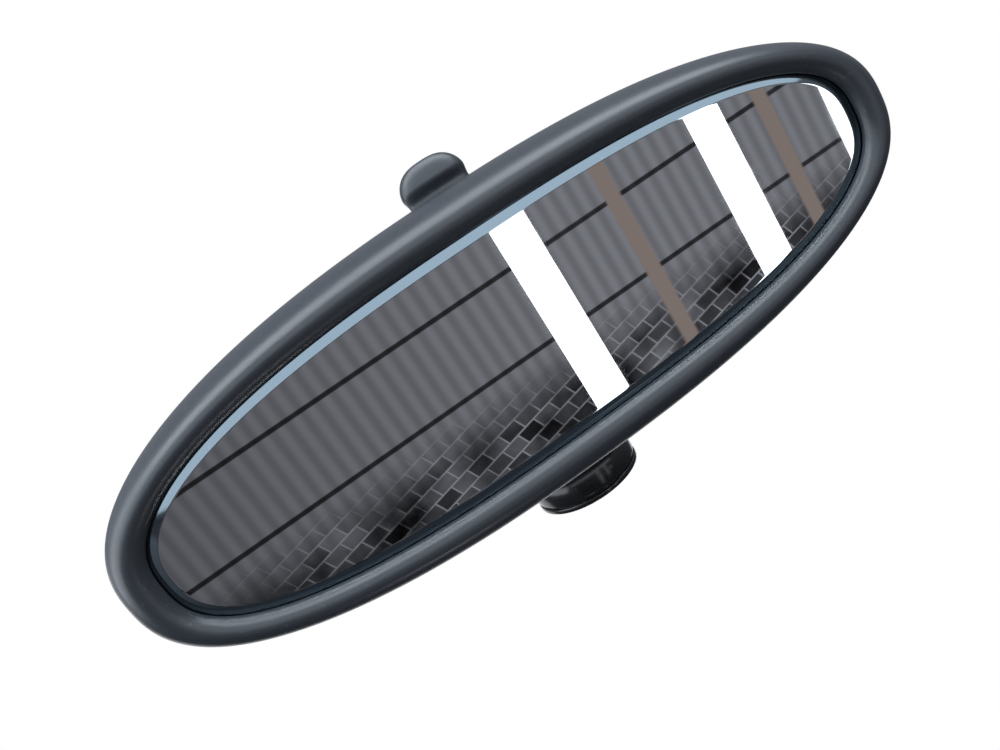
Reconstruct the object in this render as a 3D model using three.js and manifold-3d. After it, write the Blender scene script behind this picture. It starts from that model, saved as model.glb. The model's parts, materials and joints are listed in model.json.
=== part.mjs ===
// Oval interior rearview mirror with a day/night dipping lever, built as an assembly.
// Millimetres. +Z is up in the car, the glass faces -Y (the driver) and x runs along the
// head. The origin is the centre of the round foot's windscreen face. The pieces are drawn
// in the head's own frame: y = 0 on the crest of the rim and growing towards the
// windscreen, z = 0 at the head's mid height. One group moves them all to the foot's frame.

import * as THREE from "three";
import { mergeVertices } from "three/addons/utils/BufferGeometryUtils.js";
import Module from "manifold-3d";

const wasm = await Module();
wasm.setup();

const degrees = THREE.MathUtils.degToRad;

// ---- Driving dimensions ---------------------------------------------------------------

// Head outline and rim
const HEAD_LENGTH = 245;
const HEAD_HEIGHT = 84.8;
const OUTLINE_POWER = 2.38; // exponent of the superellipse; 2 would be an ellipse
const OPENING_POWER = 2.56; // the opening is a little squarer
const RIM_ROUND = 7.6; // from the widest outline in to the crest of the rim
const RIM_DEPTH = 16.2; // from the crest back to the parting line
const LIP_WIDTH = 4.2; // from the crest in to the edge of the lip
const LIP_DEPTH = 3.9; // from the crest back to the edge of the lip
const LIP_EDGE = 0.4;
const LIP_GAP = 0.12; // between the lip and the glass's sloped edge
const WALL = 2.4; // moulded walls of rim and case
const SEAT_WALL = 1.6; // upright wall around the glass
const CASE_DEPTH = 21.5; // from the parting line to the case's back
const CASE_POWER = 2.6; // exponent of the case's side profile
const TONGUE_REACH = 3.2; // how far the case's tongue goes into the rim
const TONGUE_WALL = 1.2;
const FIT_GAP = 0.3; // between pieces that fit into each other
const LAYER_GAP = 0.1; // between flat layers

// Glass pack
const GLASS_LAP = 1.6; // glass hidden under the lip
const GLASS_MIDDLE = 4.75; // thickness at mid height
const WEDGE = degrees(3.1); // angle between the glass's front and back
const BEVEL_WIDTH = 4.3; // ground edge of the glass, most of it in view
const BEVEL_DROP = 0.7;
const FILM = 0.4; // safety film behind the silver
const PAD = 1.2; // foam pad
const FRAME_PLATE = 2.4;

// Ball joint
const BALL_RADIUS = 8.5;
const BALL_CLEARANCE = 0.3;
const LINER_WALL = 1.8;
const HOUSING_WALL = 3.1;
const BALL_SETBACK = 33; // from the crest back to the ball's centre
const NECK_RADIUS = 4.3;
const PAN_LIMIT = degrees(20);
const TILT_LIMIT = degrees(15);
const FLANGE_RIM = 3.5; // from the cap screws' circle out to the flange's edge
const FLANGE = 2.5; // thickness of the cap's flange and of the bracket's plate
const CAP_NOSE = 8; // how far the cap reaches behind the ball's centre
const CAP_SCREW_GAP = 0.9; // between a cap screw's head and the housing
const PLATE_EDGE = 3.5; // of the bracket's plate above its top cap screw

// Dipping mechanism
const DIP = degrees(4); // how far the head tips for night driving
const FLIP = degrees(30); // how far the lever turns for it
const HINGE_BELOW_TOP = 15.4; // hinge pin below the top of the outline
const HINGE_SETBACK = 20;
const LEVER_ABOVE_BOTTOM = 7.6; // lever pin above the bottom of the outline
const LEVER_SETBACK = 23;
const PIN_RADIUS = 1.5;
const PIN_CLEARANCE = 0.3;
const EAR_RADIUS = 3.4;
const LUG_RADIUS = 2.8;
const PLATE_OVERHANG = 1; // of the bracket's plate beyond the cap's flange
const EAR_FROM = 16;
const EAR_WIDTH = 3;
const LEVER_LUG_FROM = 11;
const FORK_HALF_WIDTH = 6;
const FORK_WALL = 2;
const STEM_WIDTH = 18;
const STEM_THICKNESS = 4.4;
const BARREL_RADIUS = 3;
const KNOB_WIDTH = 20;
const KNOB_THICKNESS = 9;
const NECK_FROM = 7.2; // from the lever pin to the near end of the knob's thin neck
const NECK_THICKNESS = 5.4;
const KNOB_FROM = 9.9; // from the lever pin to the thick part of the knob
const KNOB_TO = 17.5; // from the lever pin to the knob's far end
const KNOB_CORNER = 6.8;
const KNOB_SHIFT = -3; // from the head's middle to the knob's middle, along the head
const SLOT_CLEARANCE = 0.9;

// Arm and windscreen foot
const FOOT_SETBACK = 60; // from the crest back to the axis of the foot
const FOOT_RISE = 67.5; // from the head's mid height up to the foot's face
const FOOT_RADIUS = 19.4;
const FOOT_HEIGHT = 17;
const FOOT_WALL = 5.4; // from the cavity out to the rim
const CLIP_GAP = 3; // between the spring plate and the cavity's wall
const TAB_THICKNESS = 1;
const CAVITY_DEPTH = 8;
const FOOT_FLOOR = 3;
const HUB_RADIUS = 9.2;
const ARM_RADIUS = 6;
const COLLAR_START = 13; // from the ball's centre back to the arm's end
const THREAD_RADIUS = 3;
const THREAD_LENGTH = 8;
const FOOT_SCREW_RADIUS = 2;

// Screws
const FRAME_SCREW_X = 78;
const FRAME_SCREW_Z = 15;
const SCREW_RADIUS = 1.4;
const SCREW_HEAD_RADIUS = 2.6;
const RECESS_DEPTH = 1.5; // counterbore for the frame screws' heads

// Fineness
const OVAL_SEGMENTS = 60;
const ROUND_SEGMENTS = 30;
const PIN_SEGMENTS = 16;

// ---- Values worked out from them ------------------------------------------------------

const HALF_LENGTH = HEAD_LENGTH / 2;
const HALF_HEIGHT = HEAD_HEIGHT / 2;
const LIP_INSET = RIM_ROUND + LIP_WIDTH;
const LIP_BACK = LIP_DEPTH + LIP_EDGE;
const GLASS_INSET = LIP_INSET - GLASS_LAP;
const SEAT_INSET = GLASS_INSET - FIT_GAP;
const BEVEL_AT_LIP = (BEVEL_DROP * (BEVEL_WIDTH - GLASS_LAP)) / BEVEL_WIDTH;
const GLASS_FRONT = LIP_BACK + LIP_GAP - BEVEL_AT_LIP;
const GLASS_BACK = GLASS_FRONT + GLASS_MIDDLE;
const FILM_FRONT = GLASS_BACK + LAYER_GAP;
const PAD_FRONT = FILM_FRONT + FILM + LAYER_GAP;
const FRAME_FRONT = PAD_FRONT + PAD + LAYER_GAP;
const FRAME_BACK = FRAME_FRONT + FRAME_PLATE;
const CASE_FRONT = RIM_DEPTH + FIT_GAP;
const CASE_BACK = CASE_FRONT + CASE_DEPTH;
const TONGUE_OUT = WALL + 0.5;
const TONGUE_IN = TONGUE_OUT + TONGUE_WALL;
const HINGE_Z = HALF_HEIGHT - HINGE_BELOW_TOP;
const LEVER_Z = -HALF_HEIGHT + LEVER_ABOVE_BOTTOM;
const LINER_IN = BALL_RADIUS + BALL_CLEARANCE;
const LINER_OUT = LINER_IN + LINER_WALL;
const SOCKET_IN = LINER_OUT + BALL_CLEARANCE;
const HOUSING_RADIUS = SOCKET_IN + HOUSING_WALL;
const OPENING_RADIUS = HOUSING_RADIUS + 2.5; // dipping moves the case past the cap
const CAP_SCREW_CIRCLE = HOUSING_RADIUS + CAP_SCREW_GAP + SCREW_HEAD_RADIUS;
const FLANGE_RADIUS = CAP_SCREW_CIRCLE + FLANGE_RIM;
const CAVITY_RADIUS = FOOT_RADIUS - FOOT_WALL;
const CLIP_RADIUS = CAVITY_RADIUS - CLIP_GAP;
const CAP_FRONT = BALL_SETBACK - 5.7;
const PLATE_BACK = CAP_FRONT - FIT_GAP;
const PLATE_FRONT = PLATE_BACK - FLANGE;
const PLATE_TOP = CAP_SCREW_CIRCLE + PLATE_EDGE;
const PLATE_BOTTOM = -CAP_SCREW_CIRCLE - 0.5;
const PLATE_HALF_WIDTH = FLANGE_RADIUS + PLATE_OVERHANG;
const LEAN = Math.tan(WEDGE); // how far a leaning layer moves per millimetre of height
const SPRING_SCREW_Z = LEVER_Z + 18;
const FULL_SWING = Math.acos(Math.cos(PAN_LIMIT) * Math.cos(TILT_LIMIT));

// The crank that gives DIP for FLIP while its pin stays at one depth in the bracket's fork.
const PIN_DROP = HINGE_Z - LEVER_Z;
const PIN_OFFSET = LEVER_SETBACK - HINGE_SETBACK;
const CRANK =
  (PIN_OFFSET * (1 - Math.cos(DIP)) + PIN_DROP * Math.sin(DIP)) /
  (Math.sin(FLIP / 2) * (1 + Math.cos(DIP)) + Math.cos(FLIP / 2) * Math.sin(DIP));
const CRANK_Y = LEVER_SETBACK - CRANK * Math.sin(FLIP / 2);
const CRANK_Z = LEVER_Z + CRANK * Math.cos(FLIP / 2);

// Where the leaning carrier frame's back lies at a height z.
const frameBackAt = (z) => FRAME_BACK + z * LEAN;

const FRAME_SCREWS = [
  [-FRAME_SCREW_X, FRAME_SCREW_Z],
  [FRAME_SCREW_X, FRAME_SCREW_Z],
  [-FRAME_SCREW_X, -FRAME_SCREW_Z],
  [FRAME_SCREW_X, -FRAME_SCREW_Z],
];

// Three screws on a circle clamp the cap on the bracket.
const CAP_SCREWS = [90, 210, 330].map((turn) => [
  CAP_SCREW_CIRCLE * Math.cos(degrees(turn)),
  CAP_SCREW_CIRCLE * Math.sin(degrees(turn)),
]);

const TONGUE_HALF_WIDTH = STEM_WIDTH / 2 + KNOB_SHIFT;

// ---- Solids ----------------------------------------------------------------------------

function signedVolume(position, triangles) {
  const [a, b, c] = [new THREE.Vector3(), new THREE.Vector3(), new THREE.Vector3()];
  let sum = 0;
  for (let i = 0; i < triangles.length; i += 3) {
    a.fromBufferAttribute(position, triangles[i]);
    b.fromBufferAttribute(position, triangles[i + 1]);
    c.fromBufferAttribute(position, triangles[i + 2]);
    sum += a.dot(b.cross(c));
  }
  return sum;
}

// Geometry to a solid: shared vertices merged, slivers dropped, faces turned outwards.
function solid(geometry) {
  const bare = new THREE.BufferGeometry();
  bare.setAttribute("position", geometry.getAttribute("position"));
  if (geometry.index) bare.setIndex(geometry.index);
  const merged = mergeVertices(bare, 1e-4);
  const index = merged.index.array;
  const triangles = [];
  for (let i = 0; i < index.length; i += 3) {
    const [a, b, c] = [index[i], index[i + 1], index[i + 2]];
    if (a !== b && b !== c && c !== a) triangles.push(a, b, c);
  }
  if (signedVolume(merged.attributes.position, triangles) < 0) triangles.reverse();
  const vertProperties = new Float32Array(merged.attributes.position.array);
  const triVerts = new Uint32Array(triangles);
  return new wasm.Manifold(new wasm.Mesh({ numProp: 3, vertProperties, triVerts }));
}

const join = (...solids) => solids.reduce((sum, next) => sum.add(next));
const cut = (body, ...tools) => tools.reduce((rest, tool) => rest.subtract(tool), body);

// Box between two opposite corners.
function block(from, to) {
  const size = to.map((value, i) => value - from[i]);
  const centre = from.map((value, i) => value + size[i] / 2);
  return solid(new THREE.BoxGeometry(...size).translate(...centre));
}

// Round bar along an axis; centre is the middle of the bar.
function bar(axis, radius, length, centre, segments = PIN_SEGMENTS) {
  const geometry = new THREE.CylinderGeometry(radius, radius, length, segments);
  if (axis === "x") geometry.rotateZ(Math.PI / 2);
  if (axis === "z") geometry.rotateX(Math.PI / 2);
  return solid(geometry.translate(...centre));
}

// Body of revolution about y; the profile holds [radius, y] pairs. A ring's profile closes.
function revolved(profile, { segments = ROUND_SEGMENTS, ring = false } = {}) {
  const points = profile.map(([radius, y]) => new THREE.Vector2(radius, y));
  if (ring) points.push(points[0].clone());
  return solid(new THREE.LatheGeometry(points, segments));
}

// Ball about the ball joint's centre.
function ball(radius) {
  return solid(new THREE.SphereGeometry(radius, 24, 16).translate(0, BALL_SETBACK, 0));
}

// Flat outline of [y, z] pairs, carried along x.
function sidePlate(outline, from, width) {
  const shape = new THREE.Shape(outline.map(([y, z]) => new THREE.Vector2(y, z)));
  const geometry = new THREE.ExtrudeGeometry(shape, { depth: width, bevelEnabled: false });
  const turn = new THREE.Matrix4().set(0, 0, 1, from, 1, 0, 0, 0, 0, 1, 0, 0, 0, 0, 0, 1);
  return solid(geometry.applyMatrix4(turn));
}

// Corner rounding of the superellipse after an inset.
const powerAt = (inset) => OUTLINE_POWER + ((OPENING_POWER - OUTLINE_POWER) * inset) / LIP_INSET;
const bow = (value, power) => Math.sign(value) * Math.abs(value) ** (2 / power);

// Oval body from a profile of [inset, y, scale]: the head's outline is drawn in by inset
// all round, then shrunk towards its centre by scale. leans names the pairs that follow
// the glass's wedge.
function oval(profile, { ring = false, leans = () => false } = {}) {
  const pairs = ring ? [...profile, profile[0]] : profile;
  const points = pairs.map(([inset, y]) => new THREE.Vector2(inset + 1, y));
  const geometry = new THREE.LatheGeometry(points, OVAL_SEGMENTS);
  const position = geometry.getAttribute("position");
  for (let i = 0; i <= OVAL_SEGMENTS; i += 1) {
    const angle = (2 * Math.PI * (i % OVAL_SEGMENTS)) / OVAL_SEGMENTS;
    pairs.forEach(([inset, y, scale = 1], j) => {
      const power = powerAt(inset);
      const x = (HALF_LENGTH - inset) * scale * bow(Math.cos(angle), power);
      const z = (HALF_HEIGHT - inset) * scale * bow(Math.sin(angle), power);
      position.setXYZ(i * pairs.length + j, x, leans(y) ? y + z * LEAN : y, z);
    });
  }
  return solid(geometry);
}

// Points along a quarter of an ellipse, from the cosine and sine of 0 to 90 degrees.
function quarter(steps, point) {
  return Array.from({ length: steps + 1 }, (_, i) => {
    const angle = (Math.PI / 2) * (i / steps);
    return point(Math.cos(angle), Math.sin(angle));
  });
}

// Flat layer that leans with the glass's back.
function layer(inset, front, thickness) {
  const back = front + thickness;
  const profile = [[inset, front, 0], [inset, front], [inset, back], [inset, back, 0]];
  return oval(profile, { leans: () => true });
}

// ---- Head shell ------------------------------------------------------------------------

// Rounded rim with a lip over the glass and an upright wall around it.
function bezel() {
  const outside = quarter(7, (c, s) => [RIM_ROUND * (1 - c), RIM_DEPTH * (1 - s)]);
  const lip = quarter(4, (c, s) => [RIM_ROUND + LIP_WIDTH * s, LIP_DEPTH * (1 - c)]);
  const seatBack = GLASS_BACK + HALF_HEIGHT * LEAN;
  const pocket = SEAT_INSET - SEAT_WALL;
  const seat = [
    [LIP_INSET, LIP_BACK],
    [SEAT_INSET, LIP_BACK],
    [SEAT_INSET, seatBack],
    [pocket, seatBack],
  ];
  const inside = quarter(5, (c, s) => [
    pocket - (pocket - WALL) * s,
    WALL + (RIM_DEPTH - WALL) * (1 - c),
  ]);
  return oval([...outside, ...lip.slice(1), ...seat, ...inside], { ring: true });
}

// Side profile of the case's dome, inside a wall.
function dome(wall) {
  const bend = 2 / CASE_POWER;
  return quarter(8, (c, s) => [wall, CASE_FRONT + (CASE_DEPTH - wall) * s ** bend, c ** bend]);
}

function caseShell() {
  const tip = RIM_DEPTH - TONGUE_REACH;
  const tongue = [
    [TONGUE_OUT, CASE_FRONT],
    [TONGUE_OUT, tip],
    [TONGUE_IN, tip],
    [TONGUE_IN, CASE_FRONT],
  ];
  return oval([...dome(0).reverse(), ...tongue, ...dome(WALL).slice(1)]);
}

// Domed back cover with the opening for the ball joint, the lever's slot and four bosses.
function rearCase() {
  const filled = oval([[0, CASE_FRONT, 0], ...dome(0)]);
  const bosses = FRAME_SCREWS.map(([x, z]) => {
    const front = frameBackAt(z) + FIT_GAP + LAYER_GAP;
    const length = CASE_BACK - front;
    const boss = bar("y", 3.2, length, [x, front + length / 2, z]);
    return boss.intersect(join(filled, block([x - 5, 0, z - 5], [x + 5, CASE_FRONT + 3, z + 5])));
  });
  const collar = revolved(
    [
      [OPENING_RADIUS - 1, CASE_BACK - 2.2],
      [OPENING_RADIUS + 3.4, CASE_BACK - 2.2],
      [OPENING_RADIUS + 2.8, CASE_BACK + 1],
      [OPENING_RADIUS + 2, CASE_BACK + 1.6],
      [OPENING_RADIUS - 1, CASE_BACK + 1.6],
    ],
    { ring: true },
  );
  const opening = bar("y", OPENING_RADIUS, 30, [0, CASE_BACK, 0], ROUND_SEGMENTS);
  const slotHalf = LEVER_ABOVE_BOTTOM * Math.tan(FLIP / 2) + STEM_THICKNESS / 2 + SLOT_CLEARANCE;
  const slotSide = KNOB_WIDTH / 2 + SLOT_CLEARANCE;
  const slotMost = Math.max(KNOB_SHIFT + slotSide, STEM_WIDTH / 2 + SLOT_CLEARANCE);
  const slot = block(
    [KNOB_SHIFT - slotSide, LEVER_SETBACK - slotHalf, -HALF_HEIGHT - 5],
    [slotMost, LEVER_SETBACK + slotHalf, LEVER_Z],
  );
  const pilots = FRAME_SCREWS.map(([x, z]) =>
    bar("y", SCREW_RADIUS + FIT_GAP, 12, [x, frameBackAt(z) + 5, z], 12),
  );
  return cut(join(caseShell(), ...bosses, collar), opening, slot, ...pilots);
}

// Wedge-shaped glass with a ground front edge.
function mirrorGlass() {
  const flat = GLASS_INSET + BEVEL_WIDTH;
  const profile = [
    [flat, GLASS_FRONT, 0],
    [flat, GLASS_FRONT],
    [GLASS_INSET, GLASS_FRONT + BEVEL_DROP],
    [GLASS_INSET, GLASS_BACK],
    [GLASS_INSET, GLASS_BACK, 0],
  ];
  return oval(profile, { leans: (y) => y === GLASS_BACK });
}

const backingFilm = () => layer(GLASS_INSET + 0.5, FILM_FRONT, FILM);
const foamPad = () => layer(GLASS_INSET + 3, PAD_FRONT, PAD);

// Lug that runs from the carrier frame's back to a pin.
function lug(from, pinY, pinZ, footLow, footHigh) {
  const width = EAR_WIDTH;
  const outline = [
    [frameBackAt(footLow) - 1, footLow],
    [frameBackAt(footHigh) - 1, footHigh],
    [pinY, pinZ + LUG_RADIUS],
    [pinY, pinZ - LUG_RADIUS],
  ];
  return join(
    sidePlate(outline, from, width),
    bar("x", LUG_RADIUS, width, [from + width / 2, pinY, pinZ]),
  );
}

// Plate behind the glass with lugs for both pins, ribs and counterbored screw holes.
function carrierFrame() {
  const plate = layer(GLASS_INSET + 1, FRAME_FRONT, FRAME_PLATE);
  const hingeFrom = EAR_FROM + EAR_WIDTH + 1;
  const hingeLugs = [-hingeFrom - EAR_WIDTH, hingeFrom].map((x) =>
    lug(x, HINGE_SETBACK, HINGE_Z, HINGE_Z - 6, HINGE_Z + 1),
  );
  const leverLugs = [-LEVER_LUG_FROM - EAR_WIDTH, LEVER_LUG_FROM].map((x) =>
    lug(x, LEVER_SETBACK, LEVER_Z, LEVER_Z + 6, LEVER_Z + 14),
  );
  const ribs = [-1, 1].map((side) => {
    const ends = [side * (FRAME_SCREW_X - 40), side * (FRAME_SCREW_X + 16)].sort((a, b) => a - b);
    return block([ends[0], FRAME_BACK - 1, -1], [ends[1], FRAME_BACK + 4, 1]);
  });
  const holes = FRAME_SCREWS.flatMap(([x, z]) => {
    const front = FRAME_FRONT + z * LEAN;
    return [
      bar("y", SCREW_RADIUS + FIT_GAP, 12, [x, front, z], 12),
      bar("y", SCREW_HEAD_RADIUS + FIT_GAP, 2 * RECESS_DEPTH, [x, front, z], 12),
    ];
  });
  const pinHole = PIN_RADIUS + 0.1;
  return cut(
    join(plate, ...hingeLugs, ...leverLugs, ...ribs),
    ...holes,
    bar("x", pinHole, 60, [0, HINGE_SETBACK, HINGE_Z]),
    bar("x", pinHole, 40, [0, LEVER_SETBACK, LEVER_Z]),
    bar("y", SCREW_RADIUS + FIT_GAP, 12, [0, FRAME_BACK, SPRING_SCREW_Z], 12),
  );
}

// ---- Screws, pins and small metal pieces ------------------------------------------------

// Screw along y with a cross recess, drawn with the underside of its head at the origin and
// its tip towards +y.
function screw(length, radius = SCREW_RADIUS, head = SCREW_HEAD_RADIUS) {
  const height = 0.36 * head;
  const profile = [
    [0, -height],
    [head * 0.75, -height],
    [head, -height * 0.4],
    [head, 0],
    [radius, 0],
    [radius, length - radius],
    [0, length],
  ];
  const [reach, half, deep] = [head * 0.55, head * 0.18, height * 0.7];
  const recess = join(
    block([-reach, -height - 1, -half], [reach, -height + deep, half]),
    block([-half, -height - 1, -reach], [half, -height + deep, reach]),
  );
  return cut(revolved(profile, { segments: 12 }), recess);
}

// The same screw with its tip towards -y.
const screwForwards = (...sizes) => screw(...sizes).rotate([180, 0, 0]);

const frameScrew = ([x, z]) =>
  screw(9).translate([x, FRAME_FRONT + z * LEAN + RECESS_DEPTH - 0.2, z]);
const capScrew = ([x, z]) => screwForwards(7).translate([x, CAP_FRONT + FLANGE + 0.1, z]);

const hingePin = () => bar("x", PIN_RADIUS, 53, [0, HINGE_SETBACK, HINGE_Z]);
const leverPin = () => bar("x", PIN_RADIUS, 29, [0, LEVER_SETBACK, LEVER_Z]);

// Open ring that keeps the hinge pin in its lugs.
function hingeClip(x) {
  const [y, z] = [HINGE_SETBACK, HINGE_Z];
  const ring = bar("x", PIN_RADIUS + 1.8, 0.8, [x, y, z]);
  const hole = bar("x", PIN_RADIUS + 0.1, 4, [x, y, z]);
  const mouth = block([x - 2, y - 1, z - 6], [x + 2, y + 1, z]);
  return cut(ring, hole, mouth);
}

const LEAF = 0.6;
const LEAF_WIDTH = 9;

// Bent leaf that presses on the lever's barrel, drawn from the side.
function detentSpring() {
  const back = (z) => frameBackAt(z) + FIT_GAP;
  const touch = LEVER_SETBACK - BARREL_RADIUS - 0.35 - LEAF;
  const front = [
    [back(SPRING_SCREW_Z + 5), SPRING_SCREW_Z + 5],
    [back(SPRING_SCREW_Z - 6), SPRING_SCREW_Z - 6],
    [CRANK_Y - PIN_RADIUS - FORK_WALL - 2, LEVER_Z + 4],
    [touch, LEVER_Z],
    [touch - 0.8, LEVER_Z - 2.5],
  ];
  const rear = front.map(([y, z]) => [y + LEAF, z]).reverse();
  const hole = bar("y", SCREW_RADIUS + FIT_GAP, 12, [0, FRAME_BACK, SPRING_SCREW_Z], 12);
  return cut(sidePlate([...front, ...rear], -LEAF_WIDTH / 2, LEAF_WIDTH), hole);
}

const detentScrew = () =>
  screwForwards(2.6).translate([0, frameBackAt(SPRING_SCREW_Z) + FIT_GAP + LEAF + 0.3, SPRING_SCREW_Z]);

// ---- Ball joint ------------------------------------------------------------------------

const WASHER_OUT = 7.6;
const WASHER_IN = 4.4;
const WASHER = 0.5;
const WAVE = 0.2;
const WASHER_FLOOR = BALL_SETBACK - LINER_OUT - 0.7;
const CUP_FRONT = WASHER_FLOOR - 1.6;

// Plate with ears for the hinge pin, a fork for the crank pin and a cup for the ball.
function pivotBracket() {
  const plate = block(
    [-PLATE_HALF_WIDTH, PLATE_FRONT, PLATE_BOTTOM],
    [PLATE_HALF_WIDTH, PLATE_BACK, PLATE_TOP],
  );
  const ears = [-EAR_FROM - EAR_WIDTH, EAR_FROM].map((x) => {
    const outline = [
      [HINGE_SETBACK - EAR_RADIUS, HINGE_Z],
      [PLATE_FRONT + 1, PLATE_TOP - 9],
      [PLATE_BACK, PLATE_TOP - 9],
      [PLATE_BACK, PLATE_TOP],
      [HINGE_SETBACK + EAR_RADIUS, HINGE_Z],
    ];
    const eye = bar("x", EAR_RADIUS, EAR_WIDTH, [x + EAR_WIDTH / 2, HINGE_SETBACK, HINGE_Z]);
    return join(sidePlate(outline, x, EAR_WIDTH), eye);
  });
  const cup = revolved([
    [0, CUP_FRONT],
    [HOUSING_RADIUS - 1.2, CUP_FRONT],
    [HOUSING_RADIUS, CUP_FRONT + 1.2],
    [HOUSING_RADIUS, PLATE_BACK],
    [0, PLATE_BACK],
  ]);
  const washerRoom = bar("y", WASHER_OUT + FIT_GAP, 6, [0, WASHER_FLOOR + 3, 0], ROUND_SEGMENTS);
  const hinge = bar("x", PIN_RADIUS + PIN_CLEARANCE, 60, [0, HINGE_SETBACK, HINGE_Z]);
  const holes = CAP_SCREWS.map(([x, z]) =>
    bar("y", SCREW_RADIUS + FIT_GAP, 12, [x, PLATE_BACK, z], 12),
  );
  const body = join(plate, ...ears, crankFork(), cup);
  return cut(body, ball(SOCKET_IN), washerRoom, hinge, ...holes);
}

// Fork below the plate, open downwards, with the crank pin between its two walls.
function crankFork() {
  const half = PIN_RADIUS + PIN_CLEARANCE;
  const bottom = LEVER_Z + 4;
  const body = block(
    [-FORK_HALF_WIDTH, CRANK_Y - half - FORK_WALL, bottom],
    [FORK_HALF_WIDTH, PLATE_BACK, PLATE_BOTTOM + 1],
  );
  const slot = block(
    [-FORK_HALF_WIDTH - 1, CRANK_Y - half, bottom - 1],
    [FORK_HALF_WIDTH + 1, CRANK_Y + half, CRANK_Z + PIN_RADIUS + 0.9],
  );
  return cut(body, slot);
}

// Angle from the neck's middle to the edge of an opening that lets it swing.
const mouthAngle = (radius, swing) => Math.asin(NECK_RADIUS / radius) + swing + degrees(2.5);

// Flanged rear half of the socket, with a flared mouth for the neck.
function socketCap() {
  const noseBack = BALL_SETBACK + CAP_NOSE;
  const outside = revolved([
    [0, CAP_FRONT],
    [FLANGE_RADIUS, CAP_FRONT],
    [FLANGE_RADIUS, CAP_FRONT + FLANGE],
    [HOUSING_RADIUS + 1, CAP_FRONT + FLANGE],
    [HOUSING_RADIUS, CAP_FRONT + FLANGE + 1],
    [HOUSING_RADIUS, noseBack - 1.6],
    [HOUSING_RADIUS - 0.5, noseBack - 0.6],
    [HOUSING_RADIUS - 1.2, noseBack],
    [0, noseBack],
  ]);
  const angle = mouthAngle(SOCKET_IN, FULL_SWING);
  const throat = SOCKET_IN * Math.sin(angle);
  const mouth = CAP_NOSE * Math.tan(FULL_SWING) + NECK_RADIUS / Math.cos(FULL_SWING) + 1;
  const flare = revolved([
    [0, BALL_SETBACK],
    [throat, BALL_SETBACK],
    [throat, BALL_SETBACK + SOCKET_IN * Math.cos(angle)],
    [Math.max(mouth, throat + 0.4), noseBack + 1],
    [0, noseBack + 1],
  ]);
  const bore = bar("y", SOCKET_IN, 8, [0, BALL_SETBACK - 4, 0], 24);
  const holes = CAP_SCREWS.map(([x, z]) =>
    bar("y", SCREW_RADIUS + FIT_GAP, 12, [x, CAP_FRONT, z], 12),
  );
  return cut(outside, ball(SOCKET_IN), flare, bore, ...holes);
}

const LINER_EDGE = degrees(74); // the halves keep room to tilt between them

// Ring of a hollow ball between two angles from its front (-1) or rear (1) pole.
function liner(fromAngle, pole) {
  const steps = 5;
  const angles = Array.from(
    { length: steps + 1 },
    (_, i) => fromAngle + ((LINER_EDGE - fromAngle) * i) / steps,
  );
  const arc = (radius, turns) =>
    turns.map((angle) => [
      radius * Math.sin(angle),
      pole * radius * Math.cos(angle) + BALL_SETBACK,
    ]);
  const profile = [...arc(LINER_OUT, angles), ...arc(LINER_IN, [...angles].reverse())];
  return revolved(profile, { segments: 24, ring: true });
}

const frontLiner = () => liner(degrees(26), -1);
const rearLiner = () => liner(mouthAngle(LINER_IN, PAN_LIMIT), 1);

// Flat ring with three waves that presses the liner on the ball.
function waveWasher() {
  const low = WASHER_FLOOR + 0.2 + WAVE;
  const corners = [
    [WASHER_IN, low],
    [WASHER_OUT, low],
    [WASHER_OUT, low + WASHER],
    [WASHER_IN, low + WASHER],
    [WASHER_IN, low],
  ];
  const points = corners.map(([radius, y]) => new THREE.Vector2(radius, y));
  const geometry = new THREE.LatheGeometry(points, ROUND_SEGMENTS);
  const position = geometry.getAttribute("position");
  for (let i = 0; i < position.count; i += 1) {
    const turn = Math.atan2(position.getX(i), position.getZ(i));
    position.setY(i, position.getY(i) + WAVE * Math.cos(3 * turn));
  }
  return solid(geometry);
}

// Steel ball with a neck and a threaded shank.
function ballStud() {
  const start = BALL_SETBACK + COLLAR_START;
  const neck = revolved(
    [
      [0, BALL_SETBACK],
      [NECK_RADIUS, BALL_SETBACK],
      [NECK_RADIUS, start - FIT_GAP],
      [THREAD_RADIUS, start - FIT_GAP],
      [THREAD_RADIUS, start + THREAD_LENGTH - 1],
      [THREAD_RADIUS - 0.8, start + THREAD_LENGTH],
      [0, start + THREAD_LENGTH],
    ],
    { segments: 24 },
  );
  return join(ball(BALL_RADIUS), neck);
}

// ---- Lever: drawn about its pin, hanging straight down ------------------------------------

// Barrel on the pin, stem, thin tongue for the knob, two cheeks and the crank pin.
function dipLever() {
  const half = STEM_WIDTH / 2;
  const cheek = FORK_HALF_WIDTH + 1;
  const stemEnd = -NECK_FROM + FIT_GAP;
  const barrel = bar("x", BARREL_RADIUS, STEM_WIDTH - 0.6, [0, 0, 0]);
  const stem = block([-half, -STEM_THICKNESS / 2, stemEnd], [half, STEM_THICKNESS / 2, -1]);
  const tongue = block(
    [KNOB_SHIFT - TONGUE_HALF_WIDTH, -1.5, -KNOB_TO + 3],
    [KNOB_SHIFT + TONGUE_HALF_WIDTH, 1.5, stemEnd + 1],
  );
  const cheeks = [-cheek - 2, cheek].map((x) => block([x, -1.8, 0], [x + 2, 1.8, CRANK]));
  const crank = bar("x", PIN_RADIUS, 2 * cheek + 4, [0, 0, CRANK]);
  const hole = bar("x", PIN_RADIUS + 0.15, 60, [0, 0, 0]);
  return cut(join(barrel, stem, tongue, ...cheeks, crank), hole);
}

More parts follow.
